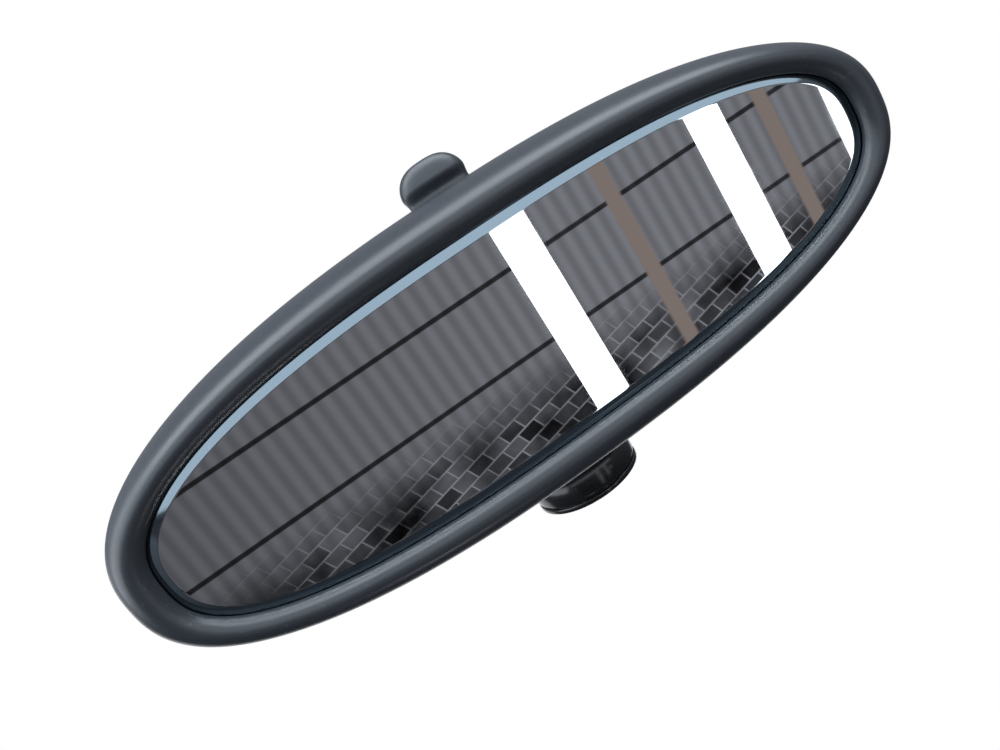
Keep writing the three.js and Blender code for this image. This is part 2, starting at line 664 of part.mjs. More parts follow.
// Soft-cornered grip with a thin neck and a pocket for the lever's tongue.
function leverKnob() {
  const half = KNOB_WIDTH / 2;
  const [near, far, round] = [-NECK_FROM, -KNOB_TO, 1.6];
  const outline = new THREE.Shape();
  outline.moveTo(-half, near);
  outline.lineTo(half, near);
  outline.lineTo(half, far + KNOB_CORNER);
  outline.quadraticCurveTo(half, far + 0.5, half - KNOB_CORNER, far + 0.3);
  outline.quadraticCurveTo(0, far - 0.3, -half + KNOB_CORNER, far + 0.3);
  outline.quadraticCurveTo(-half, far + 0.5, -half, far + KNOB_CORNER);
  const geometry = new THREE.ExtrudeGeometry(outline, {
    depth: KNOB_THICKNESS - 2 * round,
    bevelThickness: round,
    bevelSize: round,
    bevelOffset: -round,
    bevelSegments: 3,
    curveSegments: 5,
  });
  geometry.translate(0, 0, -(KNOB_THICKNESS - 2 * round) / 2).rotateX(Math.PI / 2);
  const [neckHalf, outer] = [NECK_THICKNESS / 2, KNOB_THICKNESS / 2 + 1];
  const relief = [[-outer, -neckHalf], [neckHalf, outer]].map(([from, to]) =>
    block([-half - 1, from, -KNOB_FROM], [half + 1, to, near + 1]),
  );
  const pocketHalf = TONGUE_HALF_WIDTH + FIT_GAP;
  const pocket = block([-pocketHalf, -1.8, -KNOB_TO + 2.6], [pocketHalf, 1.8, 0]);
  return cut(solid(geometry), pocket, ...relief).translate([KNOB_SHIFT, 0, 0]);
}

// ---- Arm and foot ------------------------------------------------------------------------

const FOOT_BASE = FOOT_RISE - FOOT_HEIGHT;
const POCKET_TOP = FOOT_RISE - CAVITY_DEPTH - FOOT_FLOOR;

// Round arm: back from the ball, then bent up into the foot's hub.
function arm() {
  const start = new THREE.Vector3(0, BALL_SETBACK + COLLAR_START, 0);
  const corner = new THREE.Vector3(0, FOOT_SETBACK, 0);
  const bendEnd = new THREE.Vector3(0, FOOT_SETBACK, 30);
  const path = new THREE.CurvePath();
  path.add(new THREE.QuadraticBezierCurve3(start, corner, bendEnd));
  path.add(new THREE.LineCurve3(bendEnd, new THREE.Vector3(0, FOOT_SETBACK, POCKET_TOP - FIT_GAP)));
  const section = new THREE.Shape();
  section.absarc(0, 0, ARM_RADIUS, 0, 2 * Math.PI);
  const tube = new THREE.ExtrudeGeometry(section, {
    steps: 14,
    extrudePath: path,
    curveSegments: 11,
  });
  const shank = bar(
    "y",
    THREAD_RADIUS + FIT_GAP,
    2 * (THREAD_LENGTH + 0.6),
    [0, BALL_SETBACK + COLLAR_START, 0],
  );
  const collar = revolved([
    [0, BALL_SETBACK + COLLAR_START],
    [ARM_RADIUS + 0.2, BALL_SETBACK + COLLAR_START],
    [ARM_RADIUS + 0.9, BALL_SETBACK + COLLAR_START + 0.7],
    [ARM_RADIUS + 0.9, BALL_SETBACK + COLLAR_START + 3],
    [ARM_RADIUS - 0.5, BALL_SETBACK + COLLAR_START + 5],
    [0, BALL_SETBACK + COLLAR_START + 5],
  ]);
  const screwHole = bar("z", FOOT_SCREW_RADIUS + FIT_GAP, 24, [0, FOOT_SETBACK, POCKET_TOP]);
  return cut(join(solid(tube), collar), shank, screwHole);
}

// Pieces on the foot's axis are drawn about y with y = 0 on the windscreen face and the
// head's side at negative y, then stood upright.
const onFoot = (piece) => piece.rotate([90, 0, 0]).translate([0, FOOT_SETBACK, FOOT_RISE]);

// Flared round foot with a grooved rim, an open cavity above and a pocket for the arm.
function footBody() {
  const flare = FOOT_RADIUS - HUB_RADIUS;
  const body = revolved([
    [0, -FOOT_HEIGHT],
    [HUB_RADIUS - 1, -FOOT_HEIGHT],
    [HUB_RADIUS, -FOOT_HEIGHT + 1],
    [HUB_RADIUS, -FOOT_HEIGHT + 1.8],
    [HUB_RADIUS + 0.3 * flare, -FOOT_HEIGHT + 2.3],
    [HUB_RADIUS + 0.58 * flare, -FOOT_HEIGHT + 3.6],
    [HUB_RADIUS + 0.8 * flare, -FOOT_HEIGHT + 5.7],
    [HUB_RADIUS + 0.94 * flare, -FOOT_HEIGHT + 8.6],
    [FOOT_RADIUS, -5],
    [FOOT_RADIUS, -3],
    [FOOT_RADIUS - 0.8, -2.6],
    [FOOT_RADIUS - 0.8, -1.8],
    [FOOT_RADIUS, -1.4],
    [FOOT_RADIUS, -0.5],
    [FOOT_RADIUS - 0.5, 0],
    [0, 0],
  ]);
  const cavity = bar("y", CAVITY_RADIUS, 2 * CAVITY_DEPTH, [0, 0, 0], ROUND_SEGMENTS);
  const depth = FOOT_HEIGHT - CAVITY_DEPTH - FOOT_FLOOR;
  const pocket = bar("y", ARM_RADIUS + FIT_GAP, 2 * depth, [0, -FOOT_HEIGHT, 0], 22);
  const hole = bar("y", FOOT_SCREW_RADIUS + FIT_GAP, 40, [0, 0, 0]);
  return onFoot(cut(body, cavity, pocket, hole));
}

// Spring plate on the cavity's floor with three turned-up tabs that grip the car's button.
function footClip() {
  const floor = -CAVITY_DEPTH + 0.2;
  const tabIn = CLIP_RADIUS - TAB_THICKNESS - 0.2;
  const tab = (turn) =>
    block([tabIn, floor, -3], [tabIn + TAB_THICKNESS, floor + 4.4, 3]).rotate([0, turn, 0]);
  const disc = bar("y", CLIP_RADIUS, 0.8, [0, floor + 0.4, 0], ROUND_SEGMENTS);
  const hole = bar("y", FOOT_SCREW_RADIUS + FIT_GAP, 4, [0, floor, 0]);
  return onFoot(cut(join(disc, tab(0), tab(120), tab(240)), hole));
}

const footScrew = () =>
  onFoot(screwForwards(11, FOOT_SCREW_RADIUS, 3.8).translate([0, -CAVITY_DEPTH + 1.1, 0]));

// ---- Materials ---------------------------------------------------------------------------

const material = (color, roughness, metalness = 0) =>
  new THREE.MeshStandardMaterial({ color, roughness, metalness });
const satinBlack = () => material(0x24272c, 0.42);
const hiddenBlack = () => material(0x2b2c2e, 0.6);
const glossBlack = () => material(0x0c0c0e, 0.14);
const zincSteel = () => material(0x9b9c98, 0.36, 1);
const springSteel = () => material(0x777b80, 0.3, 1);
const paleNylon = () => material(0xd9d5c8, 0.5);
const mirrorSilver = () => material(0xc6d0d6, 0.04, 1);
const greyFilm = () => material(0x50565c, 0.6);
const darkFoam = () => material(0x1c1c1d, 0.95);

// ---- Assembly ------------------------------------------------------------------------------

const part = new THREE.Group();
part.name = "interior_rearview_mirror";
part.position.set(0, -FOOT_SETBACK, -FOOT_RISE);

function add(parent, name, shape, look) {
  const mesh = shape.getMesh();
  const geometry = new THREE.BufferGeometry();
  geometry.setAttribute("position", new THREE.BufferAttribute(new Float32Array(mesh.vertProperties), 3));
  geometry.setIndex(new THREE.BufferAttribute(new Uint32Array(mesh.triVerts), 1));
  geometry.computeVertexNormals();
  const piece = new THREE.Mesh(geometry, look);
  piece.name = name;
  parent.add(piece);
}

add(part, "bezel", bezel(), satinBlack());
add(part, "rear_case", rearCase(), satinBlack());
add(part, "mirror_glass", mirrorGlass(), mirrorSilver());
add(part, "backing_film", backingFilm(), greyFilm());
add(part, "foam_pad", foamPad(), darkFoam());
add(part, "carrier_frame", carrierFrame(), hiddenBlack());
FRAME_SCREWS.forEach((place, i) => {
  add(part, `frame_screw_${i + 1}`, frameScrew(place), zincSteel());
});

add(part, "hinge_pin", hingePin(), zincSteel());
[-1, 1].forEach((side, i) => {
  const x = side * (EAR_FROM + 2 * EAR_WIDTH + 2.2);
  add(part, `hinge_clip_${i + 1}`, hingeClip(x), springSteel());
});
add(part, "lever_pin", leverPin(), zincSteel());
add(part, "detent_spring", detentSpring(), springSteel());
add(part, "detent_screw", detentScrew(), zincSteel());

add(part, "pivot_bracket", pivotBracket(), hiddenBlack());
add(part, "socket_cap", socketCap(), satinBlack());
add(part, "wave_washer", waveWasher(), springSteel());
CAP_SCREWS.forEach((place, i) => {
  add(part, `cap_screw_${i + 1}`, capScrew(place), zincSteel());
});
add(part, "ball_liner_front", frontLiner(), paleNylon());
add(part, "ball_liner_rear", rearLiner(), paleNylon());

add(part, "ball_stud", ballStud(), zincSteel());
add(part, "arm", arm(), glossBlack());
add(part, "foot_body", footBody(), glossBlack());
add(part, "foot_clip", footClip(), springSteel());
add(part, "foot_screw", footScrew(), zincSteel());

const lever = new THREE.Group();
lever.name = "lever";
lever.position.set(0, LEVER_SETBACK, LEVER_Z);
lever.rotation.x = FLIP / 2;
part.add(lever);
add(lever, "dip_lever", dipLever(), hiddenBlack());
add(lever, "lever_knob", leverKnob(), satinBlack());

export default part;
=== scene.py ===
# %% [markdown]
# # An oval interior rearview mirror
#
# The mirror hangs from a round foot on the windscreen. A bent arm ends in a steel ball, and
# the ball sits in a socket at the back of the oval head. A small lever under the head tips
# the wedge-shaped glass for night driving. The moving frame of the part is already made, so
# this script gives it smooth outer pieces, finishes, light and a camera.

import json
import math

import bmesh
import bpy
import numpy as np
from mathutils import Matrix, Vector


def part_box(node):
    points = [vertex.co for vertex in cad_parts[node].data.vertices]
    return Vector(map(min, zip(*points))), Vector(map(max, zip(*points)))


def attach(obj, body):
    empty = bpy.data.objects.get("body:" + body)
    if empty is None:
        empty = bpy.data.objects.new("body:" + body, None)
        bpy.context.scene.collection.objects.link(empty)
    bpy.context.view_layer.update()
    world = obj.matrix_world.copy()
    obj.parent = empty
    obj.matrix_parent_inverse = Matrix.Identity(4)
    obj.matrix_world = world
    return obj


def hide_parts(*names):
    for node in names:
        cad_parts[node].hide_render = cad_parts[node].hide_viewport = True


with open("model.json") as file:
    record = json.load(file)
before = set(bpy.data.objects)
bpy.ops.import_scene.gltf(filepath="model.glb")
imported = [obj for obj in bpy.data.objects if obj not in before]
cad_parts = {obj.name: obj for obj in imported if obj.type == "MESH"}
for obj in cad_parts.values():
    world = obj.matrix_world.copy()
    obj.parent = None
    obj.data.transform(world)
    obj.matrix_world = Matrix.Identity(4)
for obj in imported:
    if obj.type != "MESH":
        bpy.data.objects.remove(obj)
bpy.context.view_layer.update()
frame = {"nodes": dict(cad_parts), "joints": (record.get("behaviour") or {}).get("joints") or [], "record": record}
MM = 0.001

# %% [markdown]
# ## Places taken from the frame
#
# Every place comes from the frame's own boxes, so a piece lands where its CAD twin is. The
# rim gives the head's length and height, the depth of its crest and its parting line. The
# ball's centre and the foot's axis come from the steel stud and the foot.

# %% Places
rim_low, rim_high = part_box("bezel")
HALF_LENGTH = (rim_high.x - rim_low.x) / 2
HALF_HEIGHT = (rim_high.z - rim_low.z) / 2
HEAD = Vector((0, rim_low.y, (rim_high.z + rim_low.z) / 2))
RIM_DEPTH = rim_high.y - rim_low.y

stud_low, stud_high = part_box("ball_stud")
BALL_RADIUS = (stud_high.x - stud_low.x) / 2
BALL = Vector((0, stud_low.y + BALL_RADIUS, (stud_low.z + stud_high.z) / 2))

foot_low, foot_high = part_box("foot_body")
FOOT_RADIUS = (foot_high.y - foot_low.y) / 2
FOOT = Vector((0, (foot_high.y + foot_low.y) / 2, foot_high.z))
FOOT_HEIGHT = foot_high.z - foot_low.z
print(f"head {2000 * HALF_LENGTH:.1f} x {2000 * HALF_HEIGHT:.1f} mm, foot radius {1000 * FOOT_RADIUS:.1f} mm")

# %% [markdown]
# ## From a grid of points to a mesh
#
# All the new pieces are grids: rows of points in one direction, columns in the other. One
# helper turns such a grid into quads. A direction can wrap round on itself, as a ring does,
# and points that fall together at a pole are merged, so no seam is left open.


# %% Grid helper
def grid_mesh(name, points, wrap_rows=True, wrap_columns=False, body="head"):
    """A mesh through points[row, column, xyz]; each cell of the grid is one quad."""
    rows, columns = points.shape[:2]
    index = np.arange(rows * columns).reshape(rows, columns)
    if wrap_rows:
        index = np.vstack([index, index[:1]])
    if wrap_columns:
        index = np.hstack([index, index[:, :1]])
    corners = (index[:-1, :-1], index[1:, :-1], index[1:, 1:], index[:-1, 1:])
    quads = np.stack(corners, axis=-1).reshape(-1, 4)
    mesh = bpy.data.meshes.new(name)
    mesh.from_pydata(points.reshape(-1, 3).tolist(), [], quads.tolist())
    return finish_mesh(name, mesh, body)


def finish_mesh(name, mesh, body):
    """Merge doubled points, turn the faces outwards, smooth them and hang the piece on its body."""
    work = bmesh.new()
    work.from_mesh(mesh)
    bmesh.ops.remove_doubles(work, verts=work.verts, dist=1e-6)
    bmesh.ops.recalc_face_normals(work, faces=work.faces)
    work.to_mesh(mesh)
    work.free()
    mesh.shade_smooth()
    piece = bpy.data.objects.new(name, mesh)
    bpy.context.scene.collection.objects.link(piece)
    sharpen(piece)
    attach(piece, body)
    return piece


def sharpen(piece, angle=40):
    """Keep edges that turn by more than angle degrees crisp."""
    mesh = piece.data
    mesh.set_sharp_from_angle(angle=math.radians(angle))


# %% [markdown]
# Many outlines are quarter ellipses joined end to end. A small helper gives the points
# between two corners, bulging one way or the other.


# %% Profile helpers
def arc(start, end, steps, bulge="first"):
    """Quarter of an ellipse: start + (end - start) (sin u, 1 - cos u), so it leaves start along the
    first coordinate; with bulge "second" the two swap and it leaves along the second."""
    turn = np.linspace(0, np.pi / 2, steps + 1)
    (a0, b0), (a1, b1) = start, end
    if bulge == "first":
        return np.column_stack([a0 + (a1 - a0) * np.sin(turn), b0 + (b1 - b0) * (1 - np.cos(turn))])
    return np.column_stack([a0 + (a1 - a0) * (1 - np.cos(turn)), b0 + (b1 - b0) * np.sin(turn)])


def line(start, end, steps):
    """Straight run of points from start to end."""
    return np.linspace(start, end, steps + 1)


def chain(*runs):
    """Runs of points joined, with each doubled joint kept once."""
    kept = [runs[0]]
    for run in runs[1:]:
        kept.append(run[1:] if np.allclose(run[0], kept[-1][-1], atol=1e-7) else run)
    return np.vstack(kept)


# %% [markdown]
# ## The head's outline
#
# Seen from the driver's seat the head is a superellipse: like an ellipse, but fuller at the
# shoulders. Drawing it inwards by the same amount all round gives the crest of the rim and
# the edge of the opening, which is a little squarer still.

# %% Outline
OUTLINE_POWER = 2.38
OPENING_POWER = 2.56
RIM_ROUND = 7.6 * MM
LIP_WIDTH = 4.2 * MM
LIP_DEPTH = 3.9 * MM
LIP_INSET = RIM_ROUND + LIP_WIDTH
AROUND = 360


def outline(inset, scale=1.0, around=AROUND):
    """x = (a - inset) |cos t|^(2/n), z = (b - inset) |sin t|^(2/n), with the signs of cos t and sin t.

    inset and scale are columns, one value for each ring; the result is [t, ring]."""
    t = 2 * np.pi * np.arange(around)[:, None] / around
    inset = np.atleast_1d(inset)[None, :]
    power = OUTLINE_POWER + (OPENING_POWER - OUTLINE_POWER) * inset / LIP_INSET
    c, s = np.cos(t), np.sin(t)
    x = (HALF_LENGTH - inset) * scale * np.sign(c) * np.abs(c) ** (2 / power)
    z = (HALF_HEIGHT - inset) * scale * np.sign(s) * np.abs(s) ** (2 / power)
    return x, z


def oval_rings(profile):
    """Points [t, ring, xyz] for a profile of (inset, depth) pairs, carried round the outline."""
    x, z = outline(profile[:, 0])
    y = np.broadcast_to(profile[:, 1][None, :], x.shape)
    return np.stack([x, y, z], axis=-1) + np.array(HEAD)


# %% [markdown]
# ## The rim
#
# The rim is one moulding. From the parting line it rises in a soft quarter round to the
# crest, rolls over into a steeper flank and ends in a thin lip over the glass. Behind the
# lip stands a low wall that keeps the glass from sliding.


# %% Rim
def make_rim():
    """A closed profile of quarter ellipses, carried once round the outline."""
    edge = 0.35 * MM
    lip_edge = 0.4 * MM
    lip_back = LIP_DEPTH + lip_edge
    seat = 9.9 * MM
    pocket = 8.3 * MM
    wall = 2.4 * MM
    seat_back = 11.6 * MM
    profile = chain(
        arc((edge, RIM_DEPTH), (0, RIM_DEPTH - edge), 4, "first"),
        arc((0, RIM_DEPTH - edge), (RIM_ROUND, 0), 36, "second"),
        arc((RIM_ROUND, 0), (LIP_INSET, LIP_DEPTH), 20, "first"),
        arc((LIP_INSET, LIP_DEPTH), (LIP_INSET - lip_edge, lip_back), 5, "second"),
        line((LIP_INSET - lip_edge, lip_back), (seat, lip_back), 2),
        line((seat, lip_back), (seat, seat_back), 3),
        line((seat, seat_back), (pocket, seat_back), 1),
        line((pocket, seat_back), (pocket, wall), 4),
        arc((pocket, wall), (wall, RIM_DEPTH), 14, "first"),
        line((wall, RIM_DEPTH), (edge, RIM_DEPTH), 1),
    )
    rim = grid_mesh("rim", oval_rings(profile[:-1]), wrap_columns=True)
    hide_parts("bezel")
    return rim


rim = make_rim()
print("rim faces:", len(rim.data.polygons))

# %% [markdown]
# ## The back cover
#
# The cover is a shallow dome. Its height depends only on how far a point is from the
# middle, measured in the head's own oval way, so the dome keeps the outline's shape all the
# way in. The grid starts on the round opening for the ball joint and spreads outwards to the
# oval edge. A raised collar stiffens the opening.

# %% Back cover
case_low, case_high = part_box("rear_case")
cap_low, cap_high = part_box("socket_cap")
CASE_FRONT = RIM_DEPTH + 0.3 * MM
CASE_DEPTH = 21.5 * MM
CASE_POWER = 2.6
COLLAR_BACK = case_high.y - HEAD.y


def dome_height(x, z, wall):
    """y = front + d (1 - m^p)^(1/p), with m = (|x/a|^n + |z/b|^n)^(1/n), 0 in the middle, 1 at the edge."""
    a, b = HALF_LENGTH - wall, HALF_HEIGHT - wall
    m = (np.abs(x / a) ** OUTLINE_POWER + np.abs(z / b) ** OUTLINE_POWER) ** (1 / OUTLINE_POWER)
    rise = np.clip(1 - np.clip(m, 0, 1) ** CASE_POWER, 0, 1) ** (1 / CASE_POWER)
    return CASE_FRONT + (CASE_DEPTH - wall) * rise


def soft_step(low, high, value):
    """0 below low, 1 above high, and s^2 (3 - 2s) between them."""
    s = np.clip((value - low) / (high - low), 0, 1)
    return s * s * (3 - 2 * s)


def dome_rings(wall, rings):
    """Rings that start as circles round the opening and turn into the oval edge.

    P = (1 - w) circle + w outline, with w crowded towards the edge, where the dome is steep."""
    v = np.linspace(0, 1, rings)[None, :]
    w = 1 - (1 - v) ** 2.4
    t = 2 * np.pi * np.arange(AROUND)[:, None] / AROUND
    edge_x, edge_z = outline(0.0)
    edge_x, edge_z = edge_x * (1 - wall / HALF_LENGTH), edge_z * (1 - wall / HALF_HEIGHT)
    start = 20.6 * MM
    x = (1 - w) * start * np.cos(t) + w * edge_x
    z = (1 - w) * start * np.sin(t) + w * edge_z
    return np.stack([x, dome_height(x, z, wall), z], axis=-1)


def opening_rings(wall):
    """Circles between the opening and the dome; the outer skin rises into the collar with a soft step."""
    t = 2 * np.pi * np.arange(AROUND)[:, None] / AROUND
    radius = np.array([16.5, 16.7, 17.0, 17.6, 18.2, 18.8, 19.2, 19.5, 19.8, 20.1, 20.35])[None, :] * MM
    x, z = radius * np.cos(t), radius * np.sin(t)
    y = dome_height(x, z, wall)
    if wall == 0:
        top = COLLAR_BACK - 0.25 * MM * soft_step(-16.9 * MM, -16.5 * MM, -radius)
        y = y + (top - y) * soft_step(-20.2 * MM, -18.9 * MM, -radius)
    return np.stack([x, y, z], axis=-1)


def make_case():
    """Outer skin, front edge, tongue and inner skin, joined into one closed wall."""
    wall = 2.4 * MM
    tongue_out, tongue_in, tongue_tip = 2.9 * MM, 4.1 * MM, RIM_DEPTH - 3.2 * MM
    edge = np.array([
        (0.3 * MM, CASE_FRONT),
        (tongue_out, CASE_FRONT),
        (tongue_out, tongue_tip),
        (tongue_in, tongue_tip),
        (tongue_in, CASE_FRONT + 2.0 * MM),
    ])
    outer = np.concatenate([opening_rings(0), dome_rings(0, 70)], axis=1)
    outer[:, -1, 1] += 0.3 * MM
    inner = np.concatenate([opening_rings(wall), dome_rings(wall, 40)[:, :-4]], axis=1)[:, ::-1]
    rim_edge = oval_rings(edge) - np.array(HEAD)
    points = np.concatenate([outer, rim_edge, inner], axis=1) + np.array(HEAD)
    return grid_mesh("back_cover", points, wrap_columns=True)


case = make_case()
print("cover faces:", len(case.data.polygons))

# %% [markdown]
# The lever comes out through a slot at the bottom of the cover. A slot with sharp, straight
# sides is hard to draw into an oval grid, so it is cut: a rounded block is taken away with a
# Boolean, and the result is kept as the piece's own mesh.


# %% Lever slot
def rounded_block(low, high, radius, name="cutter"):
    """Block with round upright edges: (x, y) = (half - r) (sign cos t, sign sin t) + r (cos t, sin t),
    drawn at two heights and closed with a flat end at each."""
    low, high = np.array(low), np.array(high)
    centre, half = (low + high) / 2, (high - low) / 2
    t = 2 * np.pi * np.arange(96) / 96
    c, s = np.cos(t), np.sin(t)
    x = (half[0] - radius) * np.sign(c) * (np.abs(c) > 1e-9) + radius * c
    y = (half[1] - radius) * np.sign(s) * (np.abs(s) > 1e-9) + radius * s
    ends = np.array([-1, 1]) * half[2]
    ring = np.stack([np.broadcast_to(x[:, None], (96, 2)), np.broadcast_to(y[:, None], (96, 2)),
                     np.broadcast_to(ends[None, :], (96, 2))], axis=-1) + centre
    middle = np.zeros((96, 1, 3)) + centre
    below, above = middle.copy(), middle.copy()
    below[..., 2], above[..., 2] = centre[2] - half[2], centre[2] + half[2]
    points = np.concatenate([below, ring, above], axis=1)
    return grid_mesh(name, points, body="head")


def cut_out(piece, cutter):
    """Take cutter away from piece and keep the result as piece's mesh."""
    step = piece.modifiers.new("cut", "BOOLEAN")
    step.operation, step.solver, step.object = "DIFFERENCE", "EXACT", cutter
    depsgraph = bpy.context.evaluated_depsgraph_get()
    mesh = bpy.data.meshes.new_from_object(piece.evaluated_get(depsgraph))
    piece.modifiers.clear()
    old, piece.data = piece.data, mesh
    name = old.name
    bpy.data.meshes.remove(old)
    mesh.name = name
    sharpen(piece)
    bpy.data.objects.remove(cutter)


lever_joint = next(j for j in frame["joints"] if j["name"] == "lever_flip")
LEVER_PIN = Vector(lever_joint["pos_m"])
knob_low, knob_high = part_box("lever_knob")
SLOT_GAP = 0.9 * MM
SLOT_HALF_DEPTH = 5.14 * MM
SLOT_SIDE = 9.9 * MM
SLOT_CORNER = 1.2 * MM
slot_cutter = rounded_block(
    (knob_low.x - SLOT_GAP, LEVER_PIN.y - SLOT_HALF_DEPTH, case_low.z - 5 * MM),
    (SLOT_SIDE, LEVER_PIN.y + SLOT_HALF_DEPTH, LEVER_PIN.z),
    SLOT_CORNER,
)
cut_out(case, slot_cutter)
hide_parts("rear_case")
print("cover faces with slot:", len(case.data.polygons))

# %% [markdown]
# ## The glass
#
# The glass is a wedge, thicker at the top, so its front and its silvered back don't reflect
# the same scene: tipping the head swaps the bright back for the dim front. Its front edge is
# ground to a narrow slope, which catches other light than the flat does. The grid runs from
# the middle of the front, over the sloped edge, to the middle of the back.

# %% Glass
glass_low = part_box("mirror_glass")[0]
GLASS_INSET = 10.2 * MM
BEVEL_WIDTH = 4.3 * MM
BEVEL_DROP = 0.7 * MM
GLASS_FRONT = glass_low.y - HEAD.y
GLASS_MIDDLE = 4.75 * MM
WEDGE = math.radians(3.1)


def make_glass():
    """Rings of the oval: flat front, rounded start of the slope, slope, edge and leaning back."""
    flat = GLASS_INSET + BEVEL_WIDTH
    rings = [
        (flat, 0, 0.0), (flat, 0, 0.35), (flat, 0, 0.7), (flat, 0, 0.93),
        (flat + 0.45 * MM, 0, 1.0),
        (flat + 0.25 * MM, 0, 1.0), (flat, 0.01 * MM, 1.0), (flat - 0.25 * MM, 0.05 * MM, 1.0),
        (GLASS_INSET + 0.3 * MM, BEVEL_DROP, 1.0), (GLASS_INSET, BEVEL_DROP + 0.3 * MM, 1.0),
        (GLASS_INSET, GLASS_MIDDLE, 1.0), (GLASS_INSET, GLASS_MIDDLE, 0.0),
    ]
    inset, depth, scale = (np.array(column) for column in zip(*rings))
    x, z = outline(inset, scale[None, :])
    back = (depth == GLASS_MIDDLE).astype(float)[None, :]
    y = GLASS_FRONT + depth[None, :] + back * z * math.tan(WEDGE)
    points = np.stack([x, y, z], axis=-1) + np.array(HEAD)
    glass = grid_mesh("mirror_glass_wedge", points)
    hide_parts("mirror_glass")
    return glass


glass = make_glass()
sharpen(glass, 4)
print("glass faces:", len(glass.data.polygons))

# %% [markdown]
# ## The lever's grip
#
# The grip is a soft pad. It starts thin beside the cover, swells to its full width and
# thickness, and ends in large round corners. Each cross-section is a superellipse. Towards
# the tip its half width shrinks as 1 - cos, which makes true quarter rounds.

# %% Grip
GRIP_HALF_WIDTH = (knob_high.x - knob_low.x) / 2
GRIP_MIDDLE = (knob_high.x + knob_low.x) / 2
GRIP_HALF_THICKNESS = 4.5 * MM
GRIP_NECK = 2.6 * MM
GRIP_REACH = (7.2 * MM, 17.5 * MM)
GRIP_CORNER = 6.8 * MM
LEVER_LEAN = math.radians(15)


def grip_section(half_width, half_thickness, distance, count=120):
    """Superellipse |x/a|^n + |y/c|^n = 1 with n = 2.7, at one distance below the pin."""
    t = 2 * np.pi * np.arange(count)[:, None] / count
    c, s = np.cos(t), np.sin(t)
    x = half_width * np.sign(c) * np.abs(c) ** (2 / 2.7)
    y = half_thickness * np.sign(s) * np.abs(s) ** (2 / 2.7)
    return np.stack([x, y, np.broadcast_to(-distance, x.shape)], axis=-1)


def make_grip():
    """Half width a(d) = a0 - 0.5 mm neck(d) - r (1 - cos u), half thickness c(d) = c0 - (c0 - c1)
    neck(d) - 2.2 mm (1 - cos u)^1.5, with neck 1 at the cover and 0 further out."""
    near, far = GRIP_REACH
    turn = np.linspace(0, np.pi / 2, 32)[1:]
    straight = np.linspace(near, far - GRIP_CORNER, 16)
    along = np.concatenate([straight, far - GRIP_CORNER + GRIP_CORNER * np.sin(turn)])
    corner = np.concatenate([np.zeros(16), 1 - np.cos(turn)])
    neck = 1 - soft_step(near + 0.8 * MM, near + 4.4 * MM, along)
    half_width = GRIP_HALF_WIDTH - 0.5 * MM * neck - GRIP_CORNER * corner
    half_thickness = GRIP_HALF_THICKNESS - (GRIP_HALF_THICKNESS - GRIP_NECK) * neck - 2.2 * MM * corner ** 1.5
    body = grip_section(half_width[None, :], half_thickness[None, :], along[None, :])
    shrink = np.linspace(1, 0, 10)[1:]
    crown = far + 0.3 * MM * (1 - shrink ** 2)
    tip_width, tip_thickness = half_width[-1] * shrink, half_thickness[-1] * shrink
    tip = grip_section(tip_width[None, :], tip_thickness[None, :], crown[None, :])
    start = grip_section((half_width[0] * np.array([0, 0.5]))[None, :],
                         (half_thickness[0] * np.array([0, 0.5]))[None, :], np.full((1, 2), near))
    points = np.concatenate([start, body, tip], axis=1)
    c, s = math.cos(LEVER_LEAN), math.sin(LEVER_LEAN)
    x = points[..., 0] + GRIP_MIDDLE
    y = points[..., 1] * c - points[..., 2] * s
    z = points[..., 1] * s + points[..., 2] * c
    turned = np.stack([x, y, z], axis=-1) + np.array([0, LEVER_PIN.y, LEVER_PIN.z])
    grip = grid_mesh("lever_grip", turned, body="lever")
    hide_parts("lever_knob")
    return grip


grip = make_grip()
print("grip faces:", len(grip.data.polygons))

# %% [markdown]
# ## Turned pieces
#
# The ball, its cap and the foot are bodies of revolution: a profile of radius and height,
# carried once round an axis. One function does them all; the axis is +Y for the ball joint
# and +Z for the foot.


# %% Turned pieces
def turned(name, profile, centre, axis, body, slot, closed=False, count=144):
    """P(t, r, h) = centre + r (cos t, sin t) across the axis + h along it."""
    t = 2 * np.pi * np.arange(count)[:, None] / count
    radius, height = profile[None, :, 0], np.broadcast_to(profile[None, :, 1], (count, len(profile)))
    across, other = radius * np.cos(t), radius * np.sin(t)
    parts = (across, height, other) if axis == "Y" else (across, other, height)
    points = np.stack(parts, axis=-1) + np.array(centre)
    return grid_mesh(name, points, wrap_columns=closed, body=body)


def make_ball_stud():
    """Sphere, then a waisted neck and the collar against the arm."""
    r, neck = BALL_RADIUS, 4.3 * MM
    waist = neck - 0.5 * MM
    waist_end, collar_start, collar_end = 11.2 * MM, 11.8 * MM, 12.7 * MM
    leave = math.asin(waist / r) + 0.05
    polar = np.linspace(np.pi, leave, 40)
    sphere = np.column_stack([r * np.sin(polar), r * np.cos(polar)])
    start = sphere[-1]
    fillet_end = start[1] + 1.6 * MM
    profile = chain(
        sphere,
        arc(tuple(start), (waist, fillet_end), 6, "second"),
        line((waist, fillet_end), (waist, waist_end), 2),
        arc((waist, waist_end), (neck, collar_start), 4, "second"),
        line((neck, collar_start), (neck, collar_end), 1),
        line((neck, collar_end), (0, collar_end), 1),
    )
    stud = turned("ball_and_neck", profile, BALL, "Y", "mount", "zinc_steel")
    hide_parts("ball_stud")
    return stud


